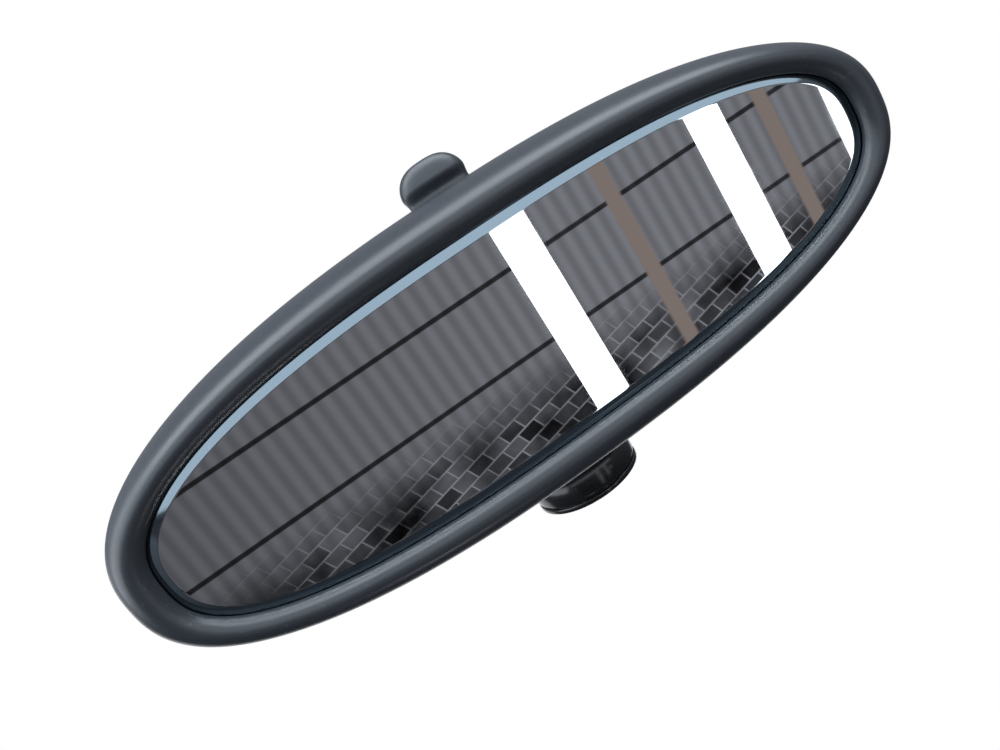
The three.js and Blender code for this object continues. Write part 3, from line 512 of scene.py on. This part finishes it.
def make_socket_cap():
    """Flange, straight collar with a rounded nose, flared mouth and the ball's seat."""
    cap_front, nose = cap_low.y - BALL.y, cap_high.y - BALL.y
    house, flange, seat = 14.0 * MM, 21 * MM, 10.9 * MM
    mouth = math.radians(50.5)
    throat = seat * math.sin(mouth)
    throat_y = seat * math.cos(mouth)
    angles = np.linspace(math.pi / 2 - mouth, 0, 10)
    profile = chain(
        line((flange, cap_front), (flange, cap_front + 2.2 * MM), 1),
        arc((flange, cap_front + 2.2 * MM), (flange - 0.3 * MM, cap_front + 2.5 * MM), 3, "second"),
        line((flange - 0.3 * MM, cap_front + 2.5 * MM), (house + 1.2 * MM, cap_front + 2.5 * MM), 2),
        arc((house + 1.2 * MM, cap_front + 2.5 * MM), (house, cap_front + 3.7 * MM), 6, "first"),
        line((house, cap_front + 3.7 * MM), (house, nose - 1.0 * MM), 2),
        arc((house, nose - 1.0 * MM), (house - 1.0 * MM, nose), 8, "second"),
        line((house - 1.0 * MM, nose), (throat + 0.9 * MM, nose), 2),
        arc((throat + 0.9 * MM, nose), (throat, nose - 0.9 * MM), 6, "first"),
        line((throat, nose - 0.9 * MM), (throat, throat_y), 1),
        np.column_stack([seat * np.cos(angles), seat * np.sin(angles)]),
        line((seat, 0), (seat, cap_front), 2),
    )
    cap = turned("socket_ring", profile, BALL, "Y", "socket", "satin_black_plastic", closed=True)
    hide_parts("socket_cap")
    return cap


def make_foot():
    """Flared disc with a grooved rim, an open cavity above and the hub below."""
    r, h = FOOT_RADIUS, FOOT_HEIGHT
    cavity, cavity_depth, hub, bore = 14 * MM, 8 * MM, 9.2 * MM, 2.3 * MM
    arm_seat, web = 6.3 * MM, -cavity_depth - 3 * MM
    face_round, cavity_round, seat_round, hub_round = 0.5 * MM, 0.3 * MM, 0.4 * MM, 1.0 * MM
    flare_start, flare_end = -h + 1.6 * MM, -5.0 * MM
    groove = r - 0.8 * MM
    profile = chain(
        arc((r, -face_round), (r - face_round, 0), 5, "second"),
        line((r - face_round, 0), (cavity + cavity_round, 0), 2),
        arc((cavity + cavity_round, 0), (cavity, -cavity_round), 3, "first"),
        line((cavity, -cavity_round), (cavity, -cavity_depth), 3),
        line((cavity, -cavity_depth), (bore, -cavity_depth), 4),
        line((bore, -cavity_depth), (bore, web), 2),
        line((bore, web), (arm_seat, web), 2),
        line((arm_seat, web), (arm_seat, -h + seat_round), 3),
        arc((arm_seat, -h + seat_round), (arm_seat + seat_round, -h), 3, "second"),
        line((arm_seat + seat_round, -h), (hub - hub_round, -h), 1),
        arc((hub - hub_round, -h), (hub, -h + hub_round), 6, "first"),
        line((hub, -h + hub_round), (hub, flare_start), 1),
        arc((hub, flare_start), (r, flare_end), 30, "first"),
        line((r, flare_end), (r, -3.3 * MM), 2),
        arc((r, -3.3 * MM), (groove, -2.7 * MM), 4, "second"),
        arc((groove, -2.7 * MM), (groove, -1.9 * MM), 1, "second"),
        arc((groove, -1.9 * MM), (r, -1.3 * MM), 4, "first"),
        line((r, -1.3 * MM), (r, -face_round), 1),
    )
    foot = turned("round_foot", profile[:-1], FOOT, "Z", "mount", "gloss_black_plastic", closed=True)
    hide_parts("foot_body")
    return foot


stud, cap, foot = make_ball_stud(), make_socket_cap(), make_foot()
print("foot faces:", len(foot.data.polygons))

# %% [markdown]
# ## The arm
#
# The arm leaves the ball straight back and bends up into the foot. It is a circle carried
# along a path. At each point of the path the circle stands square to the direction of
# travel, and its radius swells into a collar where the ball's neck is screwed in.


# %% Arm
def make_arm():
    """P(s, t) = path(s) + r(s) (cos t side + sin t normal), with the path a bent curve and a straight."""
    start = np.array([BALL.y + 13 * MM, BALL.z])
    corner = np.array([FOOT.y, BALL.z])
    bend_end = np.array([FOOT.y, BALL.z + 30 * MM])
    top = np.array([FOOT.y, FOOT.z - 11.3 * MM])
    s = np.linspace(0, 1, 40)[:, None]
    bend = (1 - s) ** 2 * start + 2 * s * (1 - s) * corner + s ** 2 * bend_end
    path = np.vstack([bend, np.linspace(bend_end, top, 16)[1:]])
    travel = np.gradient(path, axis=0)
    travel /= np.linalg.norm(travel, axis=1)[:, None]
    done = np.concatenate([[0], np.cumsum(np.linalg.norm(np.diff(path, axis=0), axis=1))])
    radius = 6.0 * MM + 0.9 * MM * (1 - soft_step(2.6 * MM, 5.2 * MM, done))
    radius = radius * np.where(done < 0.4 * MM, 0.95, 1.0)
    t = 2 * np.pi * np.arange(72)[:, None] / 72
    y = path[None, :, 0] - radius * np.sin(t) * travel[None, :, 1]
    z = path[None, :, 1] + radius * np.sin(t) * travel[None, :, 0]
    x = radius * np.cos(t)
    rings = np.stack([x, y, z], axis=-1)
    ends = [np.broadcast_to(np.array([0, *path[i]]), (72, 1, 3)) for i in (0, -1)]
    points = np.concatenate([ends[0], rings, ends[1]], axis=1)
    arm = grid_mesh("bent_arm", points, body="mount")
    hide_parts("arm")
    return arm


arm = make_arm()
print("arm faces:", len(arm.data.polygons))

# %% [markdown]
# ## Finishes
#
# Moulded plastic is never quite smooth: it copies the fine grain of its mould, picks up
# dust, and touch polishes it in smears. These effects are shared, so each is a node group
# with named inputs that every material sets for itself.


# %% Node group helpers
def new_group(name, inputs, outputs):
    """An empty shader group with named sockets; inputs and outputs are (name, kind, default)."""
    group = bpy.data.node_groups.new(name, "ShaderNodeTree")
    for label, kind, value in inputs:
        socket = group.interface.new_socket(label, in_out="INPUT", socket_type=kind)
        socket.default_value = value
    for label, kind in outputs:
        group.interface.new_socket(label, in_out="OUTPUT", socket_type=kind)
    start, end = group.nodes.new("NodeGroupInput"), group.nodes.new("NodeGroupOutput")
    return group, start, end


def noise(tree, vector, scale, detail=3.0, roughness=0.5):
    """Cloudy noise between 0 and 1 over a vector."""
    node = tree.nodes.new("ShaderNodeTexNoise")
    node.inputs["Scale"].default_value = scale
    node.inputs["Detail"].default_value = detail
    node.inputs["Roughness"].default_value = roughness
    tree.links.new(vector, node.inputs["Vector"])
    return node.outputs["Fac"]


def spread(tree, value, low, high, to_low, to_high):
    """Map Range: low..high becomes to_low..to_high."""
    node = tree.nodes.new("ShaderNodeMapRange")
    for label, number in (("From Min", low), ("From Max", high), ("To Min", to_low), ("To Max", to_high)):
        if isinstance(number, (int, float)):
            node.inputs[label].default_value = number
        else:
            tree.links.new(number, node.inputs[label])
    tree.links.new(value, node.inputs["Value"])
    return node.outputs["Result"]


def arithmetic(tree, operation, a, b):
    """A Math node on two values, each a plain number or another node's output."""
    node = tree.nodes.new("ShaderNodeMath")
    node.operation = operation
    for socket, value in zip(node.inputs, (a, b)):
        if isinstance(value, (int, float)):
            socket.default_value = value
        else:
            tree.links.new(value, socket)
    return node.outputs["Value"]


def times(tree, a, b):
    """a times b."""
    return arithmetic(tree, "MULTIPLY", a, b)


def plus(tree, a, b):
    """a plus b."""
    return arithmetic(tree, "ADD", a, b)


# %% [markdown]
# The mould grain group gives a height for the bump and a slowly changing roughness. The
# handling group gives a mask of dust in specks and soft patches, and a second mask of
# finger smears, which are stretched along one direction.


# %% Mould grain and handling
def mould_grain():
    """Height = fine cells + finer noise; roughness = base +- drift, both over Object coordinates."""
    group, start, end = new_group(
        "mould_grain",
        [("Vector", "NodeSocketVector", (0, 0, 0)), ("Grain Scale", "NodeSocketFloat", 2600.0),
         ("Base Roughness", "NodeSocketFloat", 0.4), ("Drift", "NodeSocketFloat", 0.05)],
        [("Height", "NodeSocketFloat"), ("Roughness", "NodeSocketFloat")],
    )
    cells = group.nodes.new("ShaderNodeTexVoronoi")
    cells.feature = "SMOOTH_F1"
    group.links.new(start.outputs["Vector"], cells.inputs["Vector"])
    group.links.new(start.outputs["Grain Scale"], cells.inputs["Scale"])
    fine = noise(group, start.outputs["Vector"], 5200.0, 2.0)
    height = plus(group, cells.outputs["Distance"], times(group, fine, 0.5))
    group.links.new(height, end.inputs["Height"])
    slow = noise(group, start.outputs["Vector"], 38.0, 4.0)
    signed = spread(group, slow, 0.3, 0.7, -1.0, 1.0)
    rough = plus(group, start.outputs["Base Roughness"], times(group, signed, start.outputs["Drift"]))
    group.links.new(rough, end.inputs["Roughness"])
    return group


def handling():
    """Dust = sharp specks where fine noise peaks, times soft patches; smears = stretched noise."""
    group, start, end = new_group(
        "handling",
        [("Vector", "NodeSocketVector", (0, 0, 0)), ("Dust", "NodeSocketFloat", 0.3),
         ("Smears", "NodeSocketFloat", 0.3)],
        [("Dust Mask", "NodeSocketFloat"), ("Smear Mask", "NodeSocketFloat")],
    )
    specks = spread(group, noise(group, start.outputs["Vector"], 900.0, 2.0), 0.66, 0.74, 0.0, 1.0)
    patches = spread(group, noise(group, start.outputs["Vector"], 22.0, 3.0), 0.42, 0.68, 0.15, 1.0)
    dust = times(group, times(group, specks, patches), start.outputs["Dust"])
    group.links.new(dust, end.inputs["Dust Mask"])
    stretch = group.nodes.new("ShaderNodeMapping")
    stretch.inputs["Scale"].default_value = (18.0, 18.0, 70.0)
    stretch.inputs["Rotation"].default_value = (0.0, 0.6, 0.3)
    group.links.new(start.outputs["Vector"], stretch.inputs["Vector"])
    wipes = spread(group, noise(group, stretch.outputs["Vector"], 1.0, 5.0, 0.6), 0.5, 0.72, 0.0, 1.0)
    group.links.new(times(group, wipes, start.outputs["Smears"]), end.inputs["Smear Mask"])
    return group


GRAIN = mould_grain()
HANDLING = handling()
print("node groups:", [g.name for g in bpy.data.node_groups])

# %% [markdown]
# Each material is a Principled shader fed by those groups. The plastic recipe takes its
# colour, roughness and grain as numbers, so satin, matt and gloss plastics differ only in
# what they ask for.


# %% Plastics
def group_node(tree, group, **values):
    """The group placed in a material; an input's name has _ where the socket's has a space."""
    node = tree.nodes.new("ShaderNodeGroup")
    node.node_tree = group
    for label, value in values.items():
        node.inputs[label.replace("_", " ")].default_value = value
    return node


def new_material(name):
    """A material with its tree, its Principled shader and its Object coordinates."""
    material = bpy.data.materials.new(name)
    material.use_nodes = True
    tree = material.node_tree
    shader = tree.nodes["Principled BSDF"]
    place = tree.nodes.new("ShaderNodeTexCoord").outputs["Object"]
    return material, tree, shader, place


def mix_colour(tree, mask, first, second):
    """first where mask is 0, second where it is 1; each is a colour or another node's output."""
    node = tree.nodes.new("ShaderNodeMix")
    node.data_type = "RGBA"
    for label, value in (("A", first), ("B", second)):
        socket = next(s for s in node.inputs if s.name == label and s.type == "RGBA")
        if isinstance(value, tuple):
            socket.default_value = (*value, 1)
        else:
            tree.links.new(value, socket)
    tree.links.new(mask, node.inputs[0])
    return next(s for s in node.outputs if s.type == "RGBA")


def plastic(name, colour, tint, roughness, drift, grain, bump, dust, smears):
    """Moulded plastic: two close tones, grain in the bump, dust and smears in the roughness."""
    material, tree, shader, place = new_material(name)
    surface = group_node(tree, GRAIN, Grain_Scale=grain, Base_Roughness=roughness, Drift=drift)
    touched = group_node(tree, HANDLING, Dust=dust, Smears=smears)
    tree.links.new(place, surface.inputs["Vector"])
    tree.links.new(place, touched.inputs["Vector"])
    tone = mix_colour(tree, noise(tree, place, 60.0, 4.0), colour, tint)
    dusty = mix_colour(tree, touched.outputs["Dust Mask"], tone, (0.32, 0.31, 0.29))
    tree.links.new(dusty, shader.inputs["Base Color"])
    smear = times(tree, touched.outputs["Smear Mask"], -0.10)
    rough = plus(tree, surface.outputs["Roughness"], smear)
    rougher = plus(tree, rough, times(tree, touched.outputs["Dust Mask"], 0.3))
    tree.links.new(rougher, shader.inputs["Roughness"])
    relief = tree.nodes.new("ShaderNodeBump")
    relief.inputs["Strength"].default_value = bump
    relief.inputs["Distance"].default_value = 0.00006
    tree.links.new(surface.outputs["Height"], relief.inputs["Height"])
    tree.links.new(relief.outputs["Normal"], shader.inputs["Normal"])
    shader.inputs["Specular IOR Level"].default_value = 0.5
    return material


satin_black = plastic(
    "satin_black_plastic", (0.019, 0.022, 0.028), (0.025, 0.028, 0.034),
    roughness=0.36, drift=0.04, grain=2600.0, bump=0.12, dust=0.15, smears=0.3,
)
inner_black = plastic(
    "inner_black_plastic", (0.020, 0.021, 0.023), (0.030, 0.031, 0.033),
    roughness=0.55, drift=0.06, grain=2200.0, bump=0.35, dust=0.4, smears=0.1,
)
gloss_black = plastic(
    "gloss_black_plastic", (0.006, 0.006, 0.007), (0.010, 0.010, 0.011),
    roughness=0.20, drift=0.03, grain=3000.0, bump=0.03, dust=0.06, smears=0.5,
)
nylon = plastic(
    "natural_nylon", (0.70, 0.66, 0.58), (0.62, 0.58, 0.50),
    roughness=0.48, drift=0.05, grain=2400.0, bump=0.15, dust=0.2, smears=0.1,
)
foam = plastic(
    "dark_foam", (0.012, 0.012, 0.012), (0.022, 0.022, 0.022),
    roughness=0.92, drift=0.04, grain=900.0, bump=1.0, dust=0.5, smears=0.0,
)
film = plastic(
    "grey_film", (0.08, 0.09, 0.10), (0.10, 0.11, 0.12),
    roughness=0.55, drift=0.05, grain=1800.0, bump=0.2, dust=0.2, smears=0.2,
)

# %% [markdown]
# ## Metal and mirror
#
# The metal pieces are plated or bare steel. Their polish changes in faint streaks, and a
# slight bump breaks the highlight up. The mirror is the one piece with an almost perfect
# polish; its silver shows through the glass with a faint blue-green. On the ground edge the
# light passes through more glass, so that ring is darker and bluer, and it stays a little
# hazy from grinding.


# %% Metals
def steel(name, colour, tint, roughness, streak):
    """Metal with streaked roughness: noise stretched along one axis of the Object coordinates."""
    material, tree, shader, place = new_material(name)
    stretch = tree.nodes.new("ShaderNodeMapping")
    stretch.inputs["Scale"].default_value = streak
    tree.links.new(place, stretch.inputs["Vector"])
    lines = noise(tree, stretch.outputs["Vector"], 1.0, 4.0, 0.6)
    tree.links.new(mix_colour(tree, lines, colour, tint), shader.inputs["Base Color"])
    rough = spread(tree, lines, 0.3, 0.7, roughness - 0.08, roughness + 0.1)
    tree.links.new(rough, shader.inputs["Roughness"])
    shader.inputs["Metallic"].default_value = 1.0
    relief = tree.nodes.new("ShaderNodeBump")
    relief.inputs["Strength"].default_value = 0.15
    relief.inputs["Distance"].default_value = 0.00004
    tree.links.new(lines, relief.inputs["Height"])
    tree.links.new(relief.outputs["Normal"], shader.inputs["Normal"])
    return material


zinc_steel = steel("zinc_steel", (0.60, 0.60, 0.57), (0.72, 0.71, 0.66), 0.28, (400.0, 400.0, 1600.0))
spring_steel = steel("spring_steel", (0.34, 0.36, 0.38), (0.46, 0.47, 0.48), 0.30, (1500.0, 300.0, 300.0))


# %% Mirror
FLAT_LIMIT = 0.005 * MM


def mark_ground_edge(piece):
    """Attribute "ground": 0 on the flat front of the glass and 1 on all that lies behind it."""
    mesh = piece.data
    co = np.empty(len(mesh.vertices) * 3, np.float32)
    mesh.vertices.foreach_get("co", co)
    co = co.reshape(-1, 3) - np.array(HEAD, np.float32)
    mask = (co[:, 1] > GLASS_FRONT + FLAT_LIMIT).astype(np.float32)
    attribute = mesh.attributes.new("ground", "FLOAT", "POINT")
    attribute.data.foreach_set("value", mask)
    return int(mask.sum())


def silvered_glass():
    """Bright metal on the flat, darker and bluer where the ground mask is 1; roughness rises with smears."""
    material, tree, shader, place = new_material("silvered_glass")
    edge = tree.nodes.new("ShaderNodeAttribute")
    edge.attribute_name = "ground"
    touched = group_node(tree, HANDLING, Dust=0.12, Smears=0.5)
    tree.links.new(place, touched.inputs["Vector"])
    silver = mix_colour(tree, edge.outputs["Fac"], (0.80, 0.83, 0.85), (0.20, 0.25, 0.29))
    dusty = mix_colour(tree, touched.outputs["Dust Mask"], silver, (0.6, 0.6, 0.58))
    tree.links.new(dusty, shader.inputs["Base Color"])
    shader.inputs["Metallic"].default_value = 1.0
    haze = times(tree, touched.outputs["Smear Mask"], 0.035)
    ground = times(tree, edge.outputs["Fac"], 0.05)
    tree.links.new(plus(tree, plus(tree, haze, ground), 0.012), shader.inputs["Roughness"])
    return material


print("ground edge points:", mark_ground_edge(glass))
mirror = silvered_glass()

# %% [markdown]
# Each finish now goes on its pieces. The CAD pieces that still show, such as the screws,
# pins, spring and clip, take theirs from the slot that the part's record gives them.

# %% Put the finishes on
FINISHES = {
    "satin_black_plastic": satin_black,
    "inner_black_plastic": inner_black,
    "gloss_black_plastic": gloss_black,
    "zinc_steel": zinc_steel,
    "spring_steel": spring_steel,
    "natural_nylon": nylon,
    "silvered_glass": mirror,
    "grey_film": film,
    "dark_foam": foam,
}


def dress(piece, material):
    """Give a piece this one material."""
    piece.data.materials.clear()
    piece.data.materials.append(material)


for entry in frame["record"]["subparts"]:
    dress(frame["nodes"][entry["node"]], FINISHES[entry["material_slot"]])
for piece in (rim, case, grip, cap):
    dress(piece, satin_black)
for piece in (arm, foot):
    dress(piece, gloss_black)
dress(stud, zinc_steel)
dress(glass, mirror)
print("finishes:", len(FINISHES))

# %% [markdown]
# ## The studio
#
# A mirror shows its surroundings, so the studio matters as much as the finishes. What the
# camera sees directly is plain and pale. What the glass and the plastic see is a dim grey
# room, with a row of upright strip lights behind the camera and a far wall behind those. The
# mirror is seen upside down, so the large light called overhead hangs on its -Z side.
# The cards don't show themselves to the camera, only to reflections.


# %% Studio
def card(name, centre, towards, width, height, strength, colour=(1, 1, 1), along=(1, 0, 0)):
    """A flat light card: centre +- side w/2 +- up h/2, square to the direction towards a point."""
    centre, towards, along = Vector(centre), Vector(towards), Vector(along)
    normal = (towards - centre).normalized()
    side = (along - along.dot(normal) * normal).normalized()
    up = side.cross(normal)
    signs = ((-1, -1), (1, -1), (1, 1), (-1, 1))
    corners = [centre + side * sx * width / 2 + up * sz * height / 2 for sx, sz in signs]
    mesh = bpy.data.meshes.new(name)
    mesh.from_pydata([tuple(c) for c in corners], [], [(0, 1, 2, 3)])
    piece = bpy.data.objects.new(name, mesh)
    bpy.context.scene.collection.objects.link(piece)
    material = bpy.data.materials.new(name)
    material.use_nodes = True
    tree = material.node_tree
    tree.nodes.clear()
    glow = tree.nodes.new("ShaderNodeEmission")
    glow.inputs["Color"].default_value = (*colour, 1)
    glow.inputs["Strength"].default_value = strength
    end = tree.nodes.new("ShaderNodeOutputMaterial")
    tree.links.new(glow.outputs["Emission"], end.inputs["Surface"])
    mesh.materials.append(material)
    piece.visible_camera = False
    piece.visible_shadow = False
    return piece


def pale_room():
    """World: white to the camera; to reflections a grey that is brightest towards -Z."""
    world = bpy.data.worlds.new("pale_room")
    bpy.context.scene.world = world
    world.use_nodes = True
    tree = world.node_tree
    tree.nodes.clear()
    direction = tree.nodes.new("ShaderNodeTexCoord").outputs["Generated"]
    split = tree.nodes.new("ShaderNodeSeparateXYZ")
    tree.links.new(direction, split.inputs["Vector"])
    tone = tree.nodes.new("ShaderNodeValToRGB")
    tone.color_ramp.elements[0].position = 0.30
    tone.color_ramp.elements[0].color = (0.34, 0.36, 0.39, 1)
    tone.color_ramp.elements[1].position = 0.75
    tone.color_ramp.elements[1].color = (0.075, 0.082, 0.095, 1)
    half = tree.nodes.new("ShaderNodeMapRange")
    half.inputs["From Min"].default_value = -1
    tree.links.new(split.outputs["Z"], half.inputs["Value"])
    tree.links.new(half.outputs["Result"], tone.inputs["Fac"])
    seen = tree.nodes.new("ShaderNodeLightPath").outputs["Is Camera Ray"]
    room, white = tree.nodes.new("ShaderNodeBackground"), tree.nodes.new("ShaderNodeBackground")
    white.inputs["Color"].default_value = (1, 1, 1, 1)
    tree.links.new(tone.outputs["Color"], room.inputs["Color"])
    both = tree.nodes.new("ShaderNodeMixShader")
    tree.links.new(seen, both.inputs["Fac"])
    tree.links.new(room.outputs["Background"], both.inputs[1])
    tree.links.new(white.outputs["Background"], both.inputs[2])
    end = tree.nodes.new("ShaderNodeOutputWorld")
    tree.links.new(both.outputs["Shader"], end.inputs["Surface"])


CENTRE = HEAD + Vector((0, 0.01, 0))
STRIP_PLANE = CENTRE.y - 0.71
WALL_PLANE = STRIP_PLANE - 0.02
pale_room()

# %% [markdown]
# The far wall gives the glass something to show between the lights. It is made of regular
# patterns only: sheet metal ribs, dark beams, two plain posts and stacks of slanted frames.
# It grows dimmer towards one end.


# %% Far wall
RIB_SPACING = 0.021
BEAM_SPACING = 0.105
POSTS = (-0.335, -0.575)
POST_WIDTH = 0.022
POST_EDGE = 0.002
BLACK = (0.0, 0.0, 0.0)


def waves(tree, value, spacing):
    """sin(2 pi value / spacing)."""
    wave = tree.nodes.new("ShaderNodeMath")
    wave.operation = "SINE"
    tree.links.new(times(tree, value, 2 * math.pi / spacing), wave.inputs[0])
    return wave.outputs["Value"]


def step_at(tree, value, place, soft):
    """0 below place and 1 above it, with a soft edge."""
    return spread(tree, value, place - soft, place + soft, 0.0, 1.0)


def post_mask(tree, across, place):
    """1 between place and place + the post's width: one step times what the next one leaves."""
    past = step_at(tree, across, place + POST_WIDTH, POST_EDGE)
    before_end = plus(tree, 1.0, times(tree, past, -1.0))
    return times(tree, step_at(tree, across, place, POST_EDGE), before_end)


def stacked_frames(tree, across, height, point):
    """Slanted rectangles with thin pale borders and uneven tones, like stacked metal frames far away."""
    place = tree.nodes.new("ShaderNodeCombineXYZ")
    tree.links.new(plus(tree, across, times(tree, height, 0.45)), place.inputs["X"])
    tree.links.new(plus(tree, height, times(tree, across, -0.22)), place.inputs["Y"])
    frames = tree.nodes.new("ShaderNodeTexBrick")
    tree.links.new(place.outputs["Vector"], frames.inputs["Vector"])
    settings = {
        "Scale": 1.0,
        "Brick Width": 0.031,
        "Row Height": 0.019,
        "Mortar Size": 0.0012,
        "Mortar Smooth": 0.3,
    }
    for label, value in settings.items():
        frames.inputs[label].default_value = value
    for label, tone in (("Color1", 0.04), ("Color2", 0.55), ("Mortar", 1.3)):
        frames.inputs[label].default_value = (tone, tone, tone, 1)
    patches = spread(tree, noise(tree, point, 15.0, 5.0), 0.35, 0.7, 0.1, 1.5)
    return times(tree, frames.outputs["Color"], patches)


def hall_backdrop():
    """Tone = ribs times beams at low z, frames at high z, posts over both, and dimmer towards +X."""
    place = Vector((-0.15, WALL_PLANE, 0.08))
    wall = card("hall", place, (place.x, 0, place.z), 1.5, 0.8, 1.0)
    tree = wall.data.materials[0].node_tree
    glow = next(n for n in tree.nodes if n.type == "EMISSION")
    point = tree.nodes.new("ShaderNodeTexCoord").outputs["Object"]
    split = tree.nodes.new("ShaderNodeSeparateXYZ")
    tree.links.new(point, split.inputs["Vector"])
    across, height = split.outputs["X"], split.outputs["Z"]
    ribs = spread(tree, waves(tree, across, RIB_SPACING), -1.0, 1.0, 0.72, 1.0)
    beams = spread(tree, waves(tree, plus(tree, height, 0.012), BEAM_SPACING), 0.975, 0.99, 1.0, 0.12)
    blend = tree.nodes.new("ShaderNodeMix")
    tree.links.new(spread(tree, height, 0.13, 0.19, 0.0, 1.0), blend.inputs["Factor"])
    tree.links.new(times(tree, ribs, beams), blend.inputs["A"])
    tree.links.new(stacked_frames(tree, across, height, point), blend.inputs["B"])
    tone = mix_colour(tree, times(tree, blend.outputs["Result"], 0.75), BLACK, (0.29, 0.29, 0.32))
    for post in POSTS:
        tone = mix_colour(tree, post_mask(tree, across, post), tone, (0.24, 0.19, 0.17))
    dimmer = spread(tree, across, -0.25, 0.40, 1.0, 0.55)
    tree.links.new(mix_colour(tree, dimmer, BLACK, tone), glow.inputs["Color"])
    return wall


hall = hall_backdrop()
print("far wall:", hall.name)

# %% [markdown]
# Three strip lights stand in one row. Five cards follow: one overhead, one in front, one at
# the side, one behind, and a small one that makes a spark on the foot.


# %% Lights
STRIP_WIDTH = 0.05
STRIP_STRENGTH = 2.6
STRIPS = ((-0.185, -0.50, 0.34), (-0.470, -0.50, 0.34), (-0.655, 0.00, 0.17))
AHEAD = Vector((0, 1, 0))


def light_studio():
    """Strips as (x, lowest z, highest z) in one plane, then each soft card from the head's centre or foot."""
    cards = []
    for x, low, high in STRIPS:
        place = Vector((x, STRIP_PLANE, (low + high) / 2))
        name = f"strip_{abs(int(x * 1000))}"
        colour = (0.95, 0.98, 1.0)
        cards.append(card(name, place, place + AHEAD, STRIP_WIDTH, high - low, STRIP_STRENGTH, colour))
    above = CENTRE + Vector((-0.05, -0.10, -0.50))
    cards.append(card("overhead", above, CENTRE + Vector((-0.05, 0, 0)), 1.1, 0.36, 8.0, (0.86, 0.94, 1.0)))
    front = CENTRE + Vector((-0.05, -0.50, -0.32))
    cards.append(card("front_soft", front, front + AHEAD, 1.3, 0.42, 1.8, (0.84, 0.93, 1.0)))
    beside = CENTRE + Vector((0.48, -0.06, -0.16))
    cards.append(card("side_fill", beside, CENTRE, 0.5, 0.45, 3.4, (0.86, 0.93, 1.0), along=(0, 0, 1)))
    behind = CENTRE + Vector((0.1, 0.62, 0.30))
    cards.append(card("back_soft", behind, CENTRE, 1.4, 0.6, 1.5, (0.95, 0.97, 1.0)))
    spark = FOOT + Vector((0.10, -0.25, 0.33))
    cards.append(card("foot_spark", spark, FOOT, 0.09, 0.035, 10.0))
    return cards


print("cards:", [piece.name for piece in light_studio()])

# %% [markdown]
# The pale floor lies well below the hanging mirror. It fades out towards its rim, so it has
# no hard edge against the pale room.


# %% Floor
FLOOR_RADIUS = 0.5
FLOOR_DROP = 0.33


def make_floor():
    """Disc of r (cos t, sin t); its alpha falls from 0.25 near the middle to 0 at the edge."""
    centre = Vector((0, CENTRE.y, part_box("lever_knob")[0].z - FLOOR_DROP))
    t = 2 * np.pi * np.arange(96) / 96
    ring = FLOOR_RADIUS * np.column_stack([np.cos(t), np.sin(t), np.zeros(96)]) + np.array(centre)
    mesh = bpy.data.meshes.new("pale_floor")
    mesh.from_pydata(ring.tolist(), [], [list(range(96))])
    floor = bpy.data.objects.new("pale_floor", mesh)
    bpy.context.scene.collection.objects.link(floor)
    material, tree, shader, place = new_material("pale_floor")
    shader.inputs["Base Color"].default_value = (0.9, 0.9, 0.9, 1)
    shader.inputs["Roughness"].default_value = 0.9
    from_centre = tree.nodes.new("ShaderNodeVectorMath")
    from_centre.operation = "DISTANCE"
    from_centre.inputs[1].default_value = centre
    tree.links.new(place, from_centre.inputs[0])
    fade = spread(tree, from_centre.outputs["Value"], 0.05, FLOOR_RADIUS, 0.25, 0.0)
    tree.links.new(fade, shader.inputs["Alpha"])
    mesh.materials.append(material)
    return floor


floor = make_floor()

# %% [markdown]
# ## Camera
#
# The mirror is seen upside down and tilted, from close by, a little below its middle. The
# camera's place is given from the head's centre, and its turn by three directions: the one it
# looks in, and the ones that are right and down in the picture.


# %% Camera
EYE = CENTRE + Vector((0.0379, -0.195, -0.043))
CAMERA_RIGHT = Vector((-0.8137, -0.2381, 0.5303))
CAMERA_DOWN = Vector((0.5677, -0.1297, 0.8129))
CAMERA_FORWARD = Vector((-0.1248, 0.9625, 0.2407))
SENSOR_WIDTH = 36
LENS = 27.25
NEAREST_SEEN = 0.01


def make_camera():
    """The camera looks along its own -Z, with +Y up in the picture."""
    right, down, forward = (v.normalized() for v in (CAMERA_RIGHT, CAMERA_DOWN, CAMERA_FORWARD))
    turn = Matrix((right, -down, -forward)).transposed().to_4x4()
    data = bpy.data.cameras.new("camera")
    data.sensor_width = SENSOR_WIDTH
    data.lens = LENS
    data.clip_start = NEAREST_SEEN
    camera = bpy.data.objects.new("camera", data)
    camera.matrix_world = Matrix.Translation(EYE) @ turn
    bpy.context.scene.collection.objects.link(camera)
    bpy.context.scene.camera = camera
    bpy.context.scene.view_settings.view_transform = "Standard"
    return camera


camera = make_camera()
print("camera at", tuple(round(c, 4) for c in camera.location))
